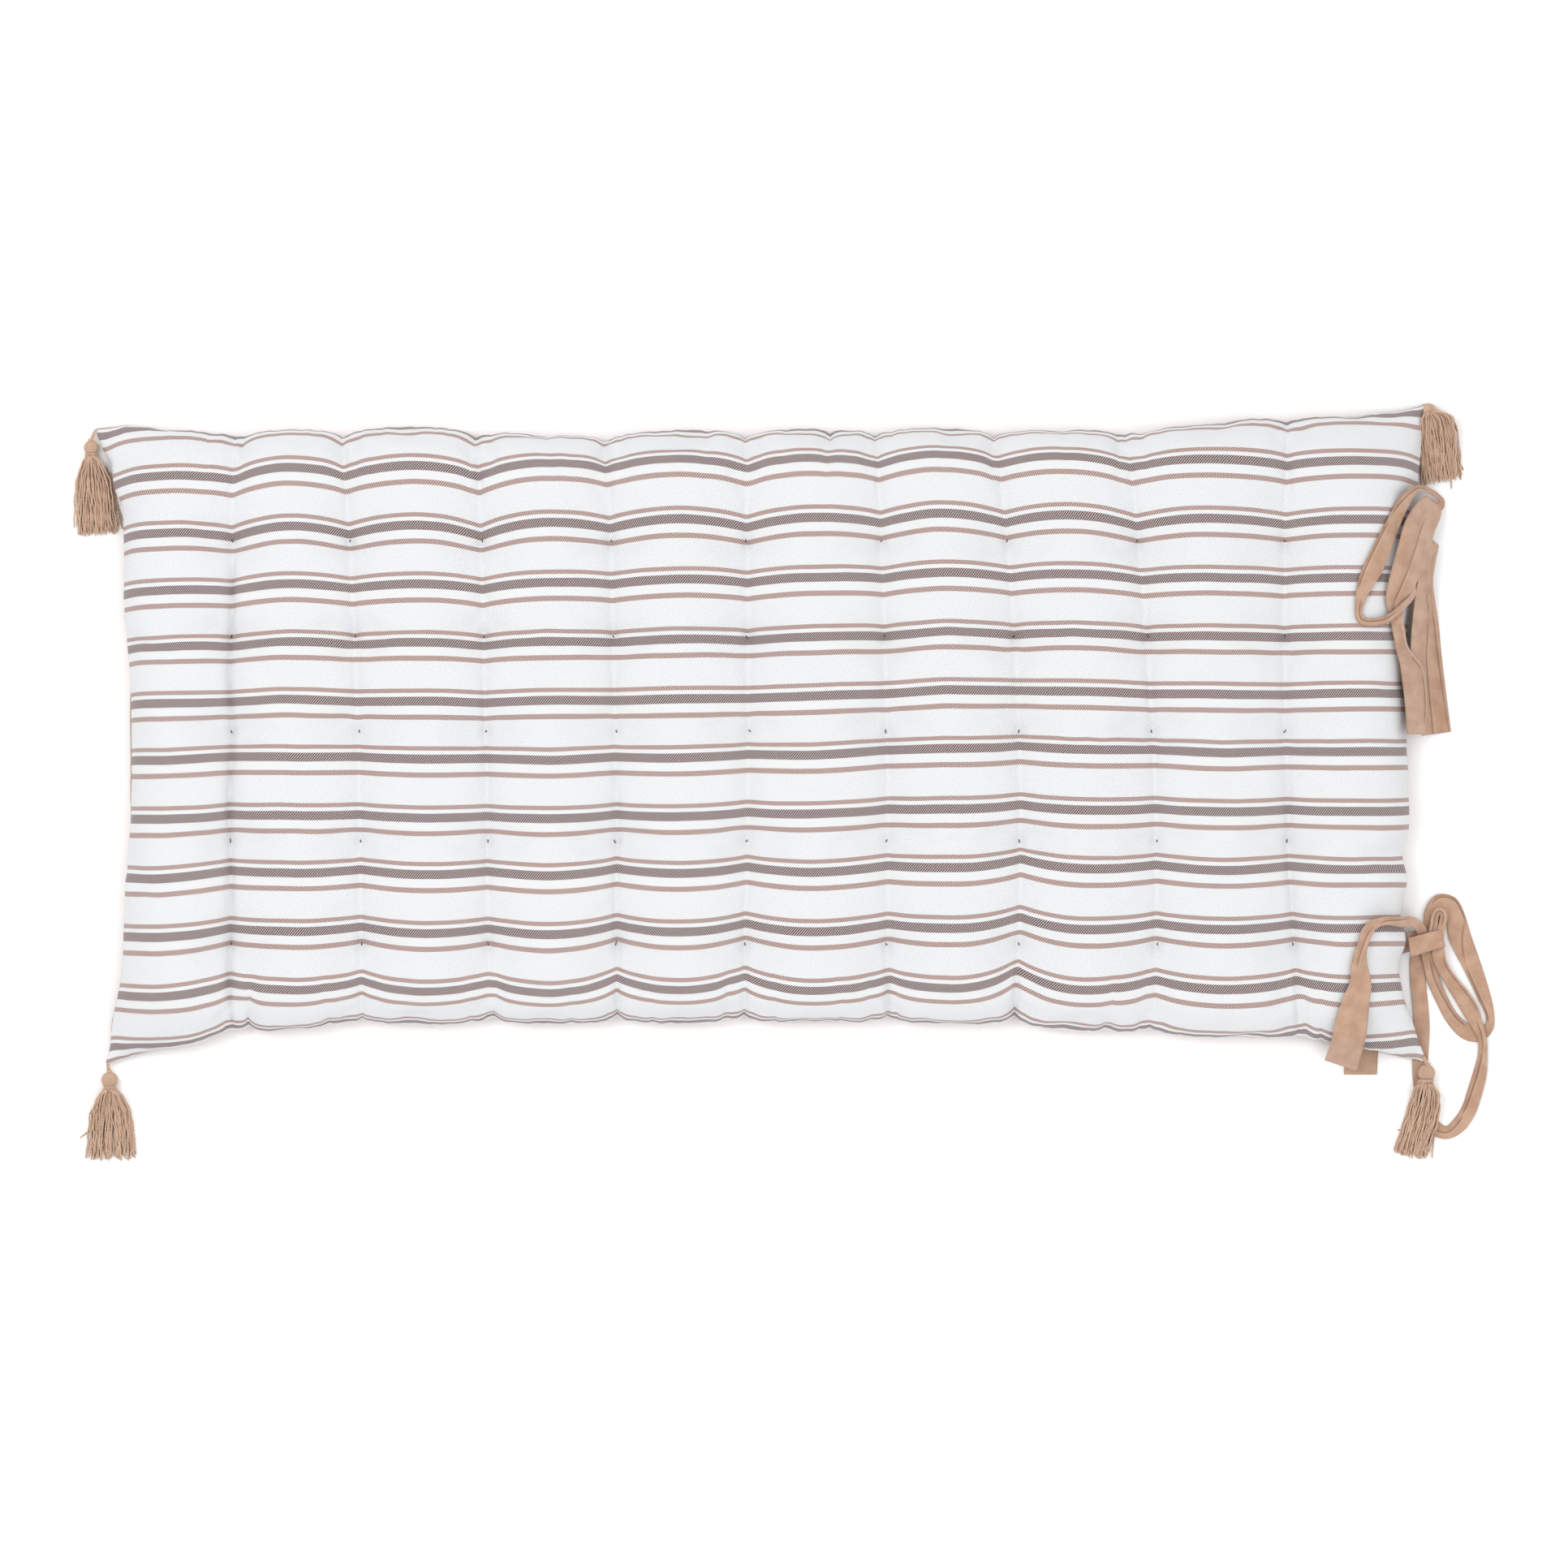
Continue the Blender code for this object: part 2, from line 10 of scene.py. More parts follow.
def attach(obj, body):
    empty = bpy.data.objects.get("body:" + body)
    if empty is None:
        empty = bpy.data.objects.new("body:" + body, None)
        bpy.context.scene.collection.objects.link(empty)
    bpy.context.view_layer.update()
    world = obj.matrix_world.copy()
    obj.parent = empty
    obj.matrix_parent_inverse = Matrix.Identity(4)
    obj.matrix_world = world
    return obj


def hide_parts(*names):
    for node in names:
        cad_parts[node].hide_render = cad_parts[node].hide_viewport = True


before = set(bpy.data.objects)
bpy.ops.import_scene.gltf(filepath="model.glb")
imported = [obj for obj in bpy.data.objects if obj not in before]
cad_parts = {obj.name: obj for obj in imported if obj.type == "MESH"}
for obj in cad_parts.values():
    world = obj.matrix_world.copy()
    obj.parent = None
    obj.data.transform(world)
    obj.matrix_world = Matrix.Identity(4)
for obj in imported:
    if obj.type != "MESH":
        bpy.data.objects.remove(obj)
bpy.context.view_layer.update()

MM = 0.001

# Camera, floor and light
# The mattress lies on a plain white floor and is seen from straight above, under two big
# soft lights, one a little to the back left and one a little to the front right.
SENSOR = 36.0
VIEW_WIDTH = 1.449
CAMERA_HEIGHT = 6.0
CAMERA_AIM_Y = -0.0015
SEAM_LEVEL = 0.02
FLOOR_HALF = 6.0
FLOOR_CLEAR = 0.0002
FLOOR_COLOUR = (0.97, 0.97, 0.97)
FLOOR_SHADE = (0.95, 0.95, 0.95)
LIGHT_LEVEL = 1.35
SKY_STRENGTH = 0.89

scene = bpy.context.scene
scene.view_settings.view_transform = "Standard"


def paint(red, green, blue):
    """The colour of a surface that shows as these 8-bit values under this light."""
    def part(value):
        share = value / 255
        light = share / 12.92 if share <= 0.04045 else ((share + 0.055) / 1.055) ** 2.4
        return light / LIGHT_LEVEL
    return part(red), part(green), part(blue)


eye = bpy.data.cameras.new("camera")
eye.sensor_width = SENSOR
eye.lens = SENSOR * (CAMERA_HEIGHT - SEAM_LEVEL) / VIEW_WIDTH
eye.clip_end = 50.0
camera = bpy.data.objects.new("camera", eye)
camera.location = (0.0, CAMERA_AIM_Y, CAMERA_HEIGHT)
scene.collection.objects.link(camera)
scene.camera = camera


class Wire:
    """A value in a material, so that sums and products of values are written as such."""

    def __init__(self, tree, socket):
        self.tree = tree
        self.socket = socket

    def math(self, operation, *values):
        return node(self.tree, "ShaderNodeMath", {"operation": operation}, *values)

    def __add__(self, other):
        return self.math("ADD", self, other)

    def __radd__(self, other):
        return self.math("ADD", other, self)

    def __sub__(self, other):
        return self.math("SUBTRACT", self, other)

    def __rsub__(self, other):
        return self.math("SUBTRACT", other, self)

    def __mul__(self, other):
        return self.math("MULTIPLY", self, other)

    def __rmul__(self, other):
        return self.math("MULTIPLY", other, self)

    def __truediv__(self, other):
        return self.math("DIVIDE", self, other)

    def fract(self):
        return self.math("FRACT", self)

    def floor(self):
        return self.math("FLOOR", self)

    def size(self):
        return self.math("ABSOLUTE", self)

    def sine(self):
        return self.math("SINE", self)

    def most(self, other):
        return self.math("MAXIMUM", self, other)

    def step(self, low, high):
        """0 below low, 1 above high, and a soft rise between them."""
        settings = {"interpolation_type": "SMOOTHSTEP"}
        return node(self.tree, "ShaderNodeMapRange", settings, self, low, high)


def node(tree, kind, settings, *values, output=0, **named):
    """A node with its settings made first, then its inputs; gives one of its outputs."""
    made = tree.nodes.new(kind)
    for name, value in settings.items():
        setattr(made, name, value)
    inputs = list(enumerate(values)) + list(named.items())
    for name, value in inputs:
        socket = made.inputs[name]
        if isinstance(value, Wire):
            tree.links.new(value.socket, socket)
        else:
            socket.default_value = value
    return Wire(tree, made.outputs[output])


def mix(tree, share, first, second):
    """A colour between two others."""
    made = tree.nodes.new("ShaderNodeMix")
    made.data_type = "RGBA"
    for number, value in ((0, share), (6, first), (7, second)):
        socket = made.inputs[number]
        if isinstance(value, Wire):
            tree.links.new(value.socket, socket)
        elif isinstance(value, tuple):
            socket.default_value = (*value, 1.0)
        else:
            socket.default_value = value
    return Wire(tree, made.outputs[2])


def noise(tree, place, scale, detail=2.0):
    """Even noise from 0 to 1."""
    return node(tree, "ShaderNodeTexNoise", {}, Vector=place, Scale=scale, Detail=detail)


def new_material(name, roughness, sheen=0.0):
    """A matt material with its shader and its nodes."""
    material = bpy.data.materials.new(name)
    material.use_nodes = True
    shader = material.node_tree.nodes["Principled BSDF"]
    shader.inputs["Roughness"].default_value = roughness
    shader.inputs["Specular IOR Level"].default_value = 0.25
    shader.inputs["Sheen Weight"].default_value = sheen
    shader.inputs["Sheen Roughness"].default_value = 0.6
    return material, shader, material.node_tree


def put(wire, socket):
    wire.tree.links.new(wire.socket, socket)


def add_object(name, mesh, *materials):
    obj = bpy.data.objects.new(name, mesh)
    scene.collection.objects.link(obj)
    for material in materials:
        mesh.materials.append(material)
    return obj


floor_mesh = bpy.data.meshes.new("floor")
floor_corners = [(x * FLOOR_HALF, y * FLOOR_HALF, 0) for x, y in ((-1, -1), (1, -1), (1, 1), (-1, 1))]
floor_mesh.from_pydata(floor_corners, [], [(0, 1, 2, 3)])
floor_look, shader, tree = new_material("floor_paint", 0.95)
place = node(tree, "ShaderNodeTexCoord", {}, output="Object")
tone = mix(tree, noise(tree, place, 3.0), FLOOR_COLOUR, FLOOR_SHADE)
put(tone, shader.inputs["Base Color"])
floor = add_object("floor", floor_mesh, floor_look)
floor.location.z = -FLOOR_CLEAR

world = bpy.data.worlds.new("studio")
scene.world = world
world.use_nodes = True
sky = world.node_tree.nodes["Background"]
sky.inputs["Color"].default_value = (1.0, 1.0, 1.0, 1.0)
sky.inputs["Strength"].default_value = SKY_STRENGTH


def add_light(name, place, aim, width, power):
    """A square soft light that faces a point."""
    lamp = bpy.data.lights.new(name, "AREA")
    lamp.shape = "SQUARE"
    lamp.size = width
    lamp.energy = power
    obj = bpy.data.objects.new(name, lamp)
    obj.location = place
    obj.rotation_euler = (Vector(aim) - Vector(place)).to_track_quat("-Z", "Y").to_euler()
    scene.collection.objects.link(obj)


add_light("key_light", (-1.5, 0.75, 3.1), (0.0, 0.0, 0.0), 1.6, 41.0)
add_light("fill_light", (1.5, -0.8, 3.1), (0.0, 0.0, 0.0), 2.4, 31.0)


# Pad
# Two panels of cotton cloth, striped twill in front and plain camel behind, sewn face to
# face, turned and filled. Forty-five tufts in nine lines draw the filling down into soft
# channels, and the seam puckers where each line runs into it.
BACK_SEAM = [
    (-636, 326.3), (-612, 330.8), (-567, 327.8), (-499, 326.3), (-334, 329.3),
    (-207, 323.3), (-79, 327.0), (93, 328.5), (325, 328.5), (378, 333.0),
    (445, 339.0), (520, 341.3), (593.3, 348.8),
]
FRONT_SEAM = [
    (-626.3, -260.3), (-589, -252.0), (-544, -243.8), (-510, -235.5), (-477, -232.5),
    (-387, -226.5), (-154, -225.0), (93, -225.0), (213, -227.3), (265, -231.0),
    (363, -236.3), (445, -239.3), (498, -243.8), (550, -251.5), (570, -255.0),
    (591.8, -257.0),
]
LEFT_SEAM = [
    (-260.3, -626.3), (-214, -622.5), (-176, -615.8), (-101, -612.0), (-64, -609.0),
    (-11, -606.0), (49, -606.0), (124, -608.3), (154, -612.8), (229, -613.5),
    (257, -614.3), (272, -621.0), (295, -624.0), (306, -630.0), (326.3, -636.0),
]
RIGHT_SEAM = [
    (-253.0, 591.8), (-215, 581.3), (-193, 574.5), (-169, 570.0), (-146, 576.0),
    (-122, 570.8), (-90, 576.8), (-67, 572.3), (-45, 578.3), (0, 579.8), (45, 578.3),
    (124, 578.3), (199, 583.5), (259, 586.5), (281, 589.9), (304, 591.8), (348.8, 593.3),
]
# The pad's four tips, which its fill thins out towards.
PAD_TIPS = [(-626.3, -260.3), (-636.0, 326.3), (591.8, -253.0), (593.3, 348.8)]
TUFT_ROWS = np.array([-149.0, -54.0, 47.0, 134.5, 222.5])
# A row for each line of tufts: its x at the back seam, in the middle and at the front
# seam, and how far it draws the stripes in at the back and at the front.
TUFT_LINES = np.array([
    (-507.0, -509.3, -509.3, 6.0, 7.5),
    (-406.5, -392.3, -390.0, 6.8, 7.5),
    (-282.8, -274.5, -272.3, 9.8, 6.8),
    (-163.5, -155.3, -154.5, 5.6, 10.5),
    (-36.0, -33.0, -37.5, 7.1, 10.9),
    (84.8, 94.5, 94.5, 6.0, 7.1),
    (194.3, 216.0, 213.0, 6.8, 16.0),
    (314.3, 339.0, 340.5, 7.5, 7.9),
    (464.3, 461.3, 475.5, 4.0, 6.4),
])
# A row for each channel: its middle x, the y of the sixth dark stripe there, and how far
# the first one lies behind it and the tenth one in front.
CHANNELS = np.array([
    (-571.0, 20.3, 259.5, 216.8),
    (-463.5, 23.3, 264.8, 213.0),
    (-345.0, 21.0, 268.5, 212.3),
    (-216.0, 20.3, 272.3, 213.0),
    (-100.5, 21.8, 274.5, 211.5),
    (31.5, 24.8, 272.3, 215.3),
    (147.0, 30.8, 270.0, 219.0),
    (262.5, 30.0, 269.3, 219.8),
    (411.0, 27.0, 268.5, 216.0),
    (526.5, 28.5, 265.5, 216.8),
])
STRIPE_PITCH = 54.4
# Where the cloth is cut and where it turns over the pad's edge, across its stripes. At a
# corner, near the x of either end, the turn comes nearer to the cut.
BACK_CUT = -68.0
BACK_TURN = -61.5
BACK_TURN_CORNER = -4.0
FRONT_CUT = 568.0
FRONT_TURN = 557.0
FRONT_TURN_CORNER = 8.0
CORNER_ENDS = (-622.0, 592.0)
# How much of a line's pull each dark stripe feels, from the back one to the front one.
BACK_PULL = np.array([1.0, 1.1, 0.55, 0.35, 0.25, 0.0, 0.0, 0.0, 0.0, 0.0])
FRONT_PULL = np.array([0.0, 0.0, 0.0, 0.0, 0.1, 0.2, 0.25, 0.55, 0.65, 1.0])
PULL_REACH = 62.0
# How far each dark stripe sags towards the front where it meets the left and right ends,
# and the x of those ends.
LEFT_SAG = np.array([11.5, 5.5, 5.5, 4.0, 2.0, 0.5, 0.0, 0.0, 0.0, 0.0])
RIGHT_SAG = np.array([9.0, 3.5, 2.0, 1.0, 0.0, 0.0, 0.0, 0.0, 0.0, 0.0])
SAG_REACH = 44.0
SAG_ENDS = (-616.0, 588.0)

CROWN = 58.0
SEAM_HEIGHT = 17.0
CORNER_HEIGHT = 9.0
CORNER_REACH = 90.0
EDGE_ROUND = 46.0
EDGE_FULL = 2.2
EDGE_STEEP = 0.62
CORNER_ROUND = 62.0
CORNER_SLACK = 160.0
CHANNEL_DIP = 9.0
CHANNEL_HALF = 60.0
CHANNEL_SHARP = 2.2
TUFT_DIP = 12.0
TUFT_REACH = 20.0
UNDER_GROOVE = 2.0
UNDER_GROOVE_HALF = 12.0
UNDER_DIP = 4.0
UNDER_DIP_HALF = 24.0
SEAM_PUCKER = 4.5
PUCKER_REACH = 55.0
CELLS_ACROSS = 18
ROWS = 98
GRID_FRONT = -230.0
GRID_BACK = 330.0
# The seam lies a little inside the pad's widest line and below it.
SEAM_INSET = 2.5
SEAM_DROP = 7.0
# How far each tip is drawn out, and its share on each row or column from the seam in.
TIP_REACH = 4.0
TIP_SHARES = (0.0, 1.0, 0.6, 0.3, 0.12)
FIRST_STEP = 0.008
# The plain back cloth shows past the striped one on these stretches of the left seam and
# along this stretch of the back one, so far out and so high.
LEFT_SHOWS = ((92, -32), (-202, -250))
LEFT_SHOW_OUT = 2.0
LEFT_SHOW_HEIGHT = 9.0
BACK_SHOW = (-645, -555)
BACK_SHOW_OUT = 1.6
BACK_SHOW_HEIGHT = 8.0
# The cloth is held fast at the seam, the tufts and, less, along the lines between them.
HELD_TUFT_HALF = 8.0
HELD_LINE_HALF = 6.0
HELD_LINE = 0.35
PRESSURE = 3.5
GROWTH = 0.02
SWELL_FRAMES = 20
MOST_SWELL = 7.0


def curve(table, at):
    """Values at many places of a table of (place, value) rows, on a curve through them."""
    places, values = np.array(table, float).T
    slopes = np.empty_like(values)
    slopes[1:-1] = (values[2:] - values[:-2]) / (places[2:] - places[:-2])
    slopes[0] = (values[1] - values[0]) / (places[1] - places[0])
    slopes[-1] = (values[-1] - values[-2]) / (places[-1] - places[-2])
    i = np.clip(np.searchsorted(places, at, side="right") - 1, 0, len(places) - 2)
    span = places[i + 1] - places[i]
    t = np.clip((at - places[i]) / span, 0.0, 1.0)
    return (
        values[i] * (2 * t**3 - 3 * t**2 + 1) + values[i + 1] * (3 * t**2 - 2 * t**3)
        + slopes[i] * span * (t**3 - 2 * t**2 + t) + slopes[i + 1] * span * (t**3 - t**2)
    )


def ease(t):
    """0 below 0, 1 above 1, and a soft step between."""
    t = np.clip(t, 0.0, 1.0)
    return t * t * (3 - 2 * t)


def line_x(share):
    """x of every line of tufts at shares of the way from the front seam to the back."""
    s = np.asarray(share)[..., None]
    back, middle, front = TUFT_LINES[:, 0], TUFT_LINES[:, 1], TUFT_LINES[:, 2]
    return front * (1 - s) * (1 - 2 * s) + middle * 4 * s * (1 - s) + back * s * (2 * s - 1)


def seam_pull(x, share):
    """How far the lines of tufts draw the front or the back seam in."""
    near = np.abs(x[..., None] - line_x(np.full_like(x, share))).min(-1)
    return SEAM_PUCKER * np.maximum(0.0, 1 - near / PUCKER_REACH) ** 2


def front_y(x):
    return curve(FRONT_SEAM, x) + seam_pull(x, 0.0)


def back_y(x):
    return curve(BACK_SEAM, x) - seam_pull(x, 1.0)


def pad_heights(x, y):
    """Fill from 0 at the seam to 1, seam height, and distances to tuft lines and tufts."""
    corner = np.min([np.hypot(x - tip_x, y - tip_y) for tip_x, tip_y in PAD_TIPS], axis=0)
    reach = EDGE_ROUND + CORNER_ROUND * ease(1 - corner / CORNER_SLACK)

    def swell(inside):
        t = np.clip(inside / reach, 0.0, 1.0)
        return (1 - (1 - t) ** EDGE_FULL) ** EDGE_STEEP

    across = np.minimum(x - curve(LEFT_SEAM, y), curve(RIGHT_SEAM, y) - x)
    low, high = front_y(x), back_y(x)
    fill = swell(across) * swell(np.minimum(y - low, high - y))
    seam = CORNER_HEIGHT + (SEAM_HEIGHT - CORNER_HEIGHT) * ease(corner / CORNER_REACH)
    off = np.abs(x[..., None] - line_x((y - low) / (high - low))).min(-1)
    row = np.abs(y[..., None] - TUFT_ROWS).min(-1)
    return fill, seam, off, np.hypot(off, row)


def top_height(x, y):
    """How high the striped front lies, with its channels and its tufts' dimples."""
    fill, seam, off, tuft = pad_heights(x, y)
    arch = CHANNEL_DIP * np.maximum(0.0, 1 - off / CHANNEL_HALF) ** CHANNEL_SHARP
    dimple = TUFT_DIP * np.exp(-tuft / TUFT_REACH)
    return seam + fill * (CROWN - seam - arch - dimple)


def under_height(x, y):
    """How high the plain back lies over the floor."""
    fill, seam, off, tuft = pad_heights(x, y)
    groove = UNDER_GROOVE * np.maximum(0.0, 1 - off / UNDER_GROOVE_HALF)
    dimple = UNDER_DIP * np.maximum(0.0, 1 - tuft / UNDER_DIP_HALF)
    return seam * (1 - fill) + fill * (groove + dimple)


def pad_grid(shares):
    """x and y of the pad's grid: a row at each share of the way across, from the front."""
    t = np.arange(CELLS_ACROSS) / CELLS_ACROSS
    beyond = 0.38 * t + 0.62 * (1 - np.cos(np.pi * t)) / 2
    channels = len(TUFT_LINES) + 1
    index = np.append(np.repeat(np.arange(channels), CELLS_ACROSS), channels - 1)
    beyond = np.append(np.tile(beyond, channels), 1.0)
    s = np.broadcast_to(shares, (len(index), len(shares)))
    y = GRID_FRONT * (1 - s) + GRID_BACK * s
    # x and y each depend on the other, and a few rounds settle them.
    for _ in range(5):
        left, right = curve(LEFT_SEAM, y), curve(RIGHT_SEAM, y)
        edges = np.concatenate([left[..., None], line_x(s), right[..., None]], -1)
        low = np.take_along_axis(edges, index[:, None, None], -1)[..., 0]
        high = np.take_along_axis(edges, index[:, None, None] + 1, -1)[..., 0]
        x = low * (1 - beyond[:, None]) + high * beyond[:, None]
        y = front_y(x) * (1 - s) + back_y(x) * s
    return x, y


def with_seam(x, y, z):
    """The grid with one more row or column on each side, tucked in and down to the seam."""
    x, y, z = (np.pad(a, 1, mode="edge") for a in (x, y, z))
    x[0], x[-1] = x[0] + SEAM_INSET, x[-1] - SEAM_INSET
    y[:, 0], y[:, -1] = y[:, 0] + SEAM_INSET, y[:, -1] - SEAM_INSET
    for i, side in ((0, 1), (-1, -1)):
        for j, way in ((0, 1), (-1, -1)):
            x[i + side, j] += side * SEAM_INSET * 1.5
            y[i, j + way] += way * SEAM_INSET * 1.5
    rim = np.ones(z.shape, bool)
    rim[1:-1, 1:-1] = False
    z[rim] -= SEAM_DROP
    return x, y, z, rim


def cloth_place(x, y, z):
    """Where each point of the front panel lies on its cloth, in millimetres.

    The first number runs along the stripes. The second runs across them, from the first
    dark stripe, as the stripes of each channel and the pull of the tufts have it.
    """
    step = np.sqrt(np.diff(x, axis=0) ** 2 + np.diff(y, axis=0) ** 2 + np.diff(z, axis=0) ** 2)
    along = np.append(0.0, np.cumsum(step.mean(axis=1)))
    along = np.broadcast_to((along - along[len(along) // 2])[:, None], x.shape)
    step = np.sqrt(np.diff(x, axis=1) ** 2 + np.diff(y, axis=1) ** 2 + np.diff(z, axis=1) ** 2)
    arc = np.hstack([np.zeros((len(x), 1)), np.cumsum(step, axis=1)])
    across = np.empty_like(x)
    bands = np.arange(10)
    for i in range(len(x)):
        middle = x[i, x.shape[1] // 2]
        sixth, behind, ahead = (np.interp(middle, CHANNELS[:, 0], row) for row in CHANNELS.T[1:])
        ys = np.where(bands < 5, sixth + behind * (5 - bands) / 5, sixth - ahead * (bands - 5) / 4)
        for line in TUFT_LINES:
            near = max(0.0, 1 - abs(middle - line[1]) / PULL_REACH) ** 2
            ys = ys - near * line[3] * BACK_PULL + near * line[4] * FRONT_PULL
        ys = ys - LEFT_SAG * max(0.0, 1 - (middle - SAG_ENDS[0]) / SAG_REACH) ** 2
        ys = ys - RIGHT_SAG * max(0.0, 1 - (SAG_ENDS[1] - middle) / SAG_REACH) ** 2
        marks = np.interp(ys[::-1], y[i, 1:-1], arc[i, 1:-1])
        corner = ease(1 - min(middle - CORNER_ENDS[0], CORNER_ENDS[1] - middle) / CORNER_REACH)
        places = [0.0, arc[i, 1], *marks, arc[i, -2], arc[i, -1]]
        front = FRONT_TURN + FRONT_TURN_CORNER * corner
        back = BACK_TURN + BACK_TURN_CORNER * corner
        values = [FRONT_CUT, front, *(bands[::-1] * STRIPE_PITCH), back, BACK_CUT]
        across[i] = np.interp(arc[i], places, values)
    return along, across


t = np.linspace(0.0, 1.0, ROWS - 3)
shares = FIRST_STEP + (1 - 2 * FIRST_STEP) * (0.6 * t + 0.4 * (1 - np.cos(np.pi * t)) / 2)
shares = np.concatenate([[0.0], shares, [1.0]])
plan_x, plan_y = pad_grid(shares)
front_x, front_rows, front_z, rim = with_seam(plan_x, plan_y, top_height(plan_x, plan_y))
_, _, under_z, _ = with_seam(plan_x, plan_y, under_height(plan_x, plan_y))
for side in (-1, 1):
    for way in (-1, 1):
        last_columns = slice(-2, None) if side > 0 else slice(0, 2)
        last_rows = slice(-2, None) if way > 0 else slice(0, 2)
        for k, share in enumerate(TIP_SHARES):
            front_rows[-1 - k if side > 0 else k, last_rows] += way * share * TIP_REACH
            front_x[last_columns, -1 - k if way > 0 else k] += side * share * TIP_REACH
tall, deep = front_x.shape
under_x, under_y = front_x.copy(), front_rows.copy()
for start, stop in LEFT_SHOWS:
    show = ease((start - front_rows[1]) / 20) * ease((front_rows[1] - stop) / 20)
    under_x[2] = under_x[2] * (1 - show) + (front_x[1] - LEFT_SHOW_OUT) * show
    under_z[2] = under_z[2] * (1 - show) + LEFT_SHOW_HEIGHT * show
start, stop = BACK_SHOW
show = ease((front_x[:, -2] - start) / 10) * ease((stop - front_x[:, -2]) / 40)
under_y[:, -3] = under_y[:, -3] * (1 - show) + (front_rows[:, -2] + BACK_SHOW_OUT) * show
under_z[:, -3] = under_z[:, -3] * (1 - show) + BACK_SHOW_HEIGHT * show
front_id = np.arange(tall * deep).reshape(tall, deep)
inner = np.zeros((tall, deep), bool)
inner[2:-2:2, 2:-2:2] = True
under_id = front_id.copy()
under_id[inner] = tall * deep + np.arange(inner.sum())
points = np.concatenate([
    np.stack([front_x, front_rows, front_z], -1).reshape(-1, 3),
    np.stack([under_x[inner], under_y[inner], under_z[inner]], -1),
]) * MM
faces, looks = [], []
for i in range(tall - 1):
    for j in range(deep - 1):
        faces.append([front_id[i, j], front_id[i + 1, j], front_id[i + 1, j + 1], front_id[i, j + 1]])
        looks.append(0)
for i in range(0, tall - 1, 2):
    for j in range(0, deep - 1, 2):
        ring = [under_id[i, j]]
        if i == 0:
            ring.append(under_id[i, j + 1])
        ring.append(under_id[i, j + 2])
        if j == deep - 3:
            ring.append(under_id[i + 1, j + 2])
        ring.append(under_id[i + 2, j + 2])
        if i == tall - 3:
            ring.append(under_id[i + 2, j + 1])
        ring.append(under_id[i + 2, j])
        if j == 0:
            ring.append(under_id[i + 1, j])
        faces.append(ring)
        looks.append(1)


def build_mesh(name, points, faces, looks=None):
    """A smooth mesh; looks are the numbers of its faces' materials."""
    mesh = bpy.data.meshes.new(name)
    mesh.from_pydata([tuple(p) for p in points], [], [[int(v) for v in face] for face in faces])
    if looks:
        mesh.polygons.foreach_set("material_index", looks)
    mesh.polygons.foreach_set("use_smooth", [True] * len(mesh.polygons))
    return mesh


def mesh_points(mesh):
    values = np.empty(len(mesh.vertices) * 3)
    mesh.vertices.foreach_get("co", values)
    return values.reshape(-1, 3)


def set_points(mesh, values):
    mesh.vertices.foreach_set("co", np.ascontiguousarray(values).ravel())
    mesh.update()


def add_map(mesh, name, places):
    """A map on the mesh, from a pair of values for each of its points."""
    corners = np.empty(len(mesh.loops), int)
    mesh.loops.foreach_get("vertex_index", corners)
    mesh.uv_layers.new(name=name).data.foreach_set("uv", places[corners].ravel())


def as_shown(obj):
    """The object with its modifiers worked out."""
    return obj.evaluated_get(bpy.context.evaluated_depsgraph_get())


def settle(obj):
    """The object's mesh with all its modifiers made real."""
    made = bpy.data.meshes.new_from_object(as_shown(obj))
    obj.modifiers.clear()
    old = obj.data
    obj.data = made
    bpy.data.meshes.remove(old)


pad_mesh = build_mesh("pad", points, faces, looks)
along, across = cloth_place(front_x, front_rows, front_z)
place = np.zeros((len(points), 2))
place[:, 0] = points[:, 0]
place[:, 1] = -points[:, 1]
place[: tall * deep] = np.stack([along, across], -1).reshape(-1, 2) * MM
add_map(pad_mesh, "cloth", place)
pad = add_object("pad", pad_mesh)

_, _, off, tuft = pad_heights(front_x, front_rows)
held = HELD_LINE * np.exp(-((off / HELD_LINE_HALF) ** 2))
held = np.maximum(np.exp(-((tuft / HELD_TUFT_HALF) ** 2)), held)
held[rim] = 1.0
held = np.concatenate([held.ravel(), np.ones(inner.sum())])
group = pad.vertex_groups.new(name="held")
for k, weight in enumerate(held):
    if weight > 0.02:
        group.add([k], float(weight), "REPLACE")
cloth = pad.modifiers.new("cloth", "CLOTH")
cloth.settings.quality = 5
cloth.settings.mass = 0.3
cloth.settings.tension_stiffness = 15.0
cloth.settings.compression_stiffness = 8.0
cloth.settings.shear_stiffness = 5.0
cloth.settings.bending_stiffness = 0.05
cloth.settings.use_pressure = True
cloth.settings.uniform_pressure_force = PRESSURE
cloth.settings.shrink_min = -GROWTH
cloth.settings.vertex_group_mass = "held"
cloth.settings.effector_weights.gravity = 0.0
cloth.collision_settings.use_collision = False
cloth.point_cache.frame_start = 1
cloth.point_cache.frame_end = SWELL_FRAMES
for frame_number in range(1, SWELL_FRAMES + 1):
    scene.frame_set(frame_number)
swollen = mesh_points(as_shown(pad).data)
pad.modifiers.clear()
moved = swollen - points
far = np.linalg.norm(moved, axis=1)[:, None]
cap = MOST_SWELL * MM
moved *= np.where(far > 0, cap * np.tanh(far / cap) / np.maximum(far, 1e-9), 0.0)
points = points + moved
points[:, 2] = np.maximum(points[:, 2], 0.0)
set_points(pad.data, points)
scene.frame_set(1)
smoothing = pad.modifiers.new("smoothing", "SUBSURF")
smoothing.levels = 1
smoothing.render_levels = 1
settle(pad)

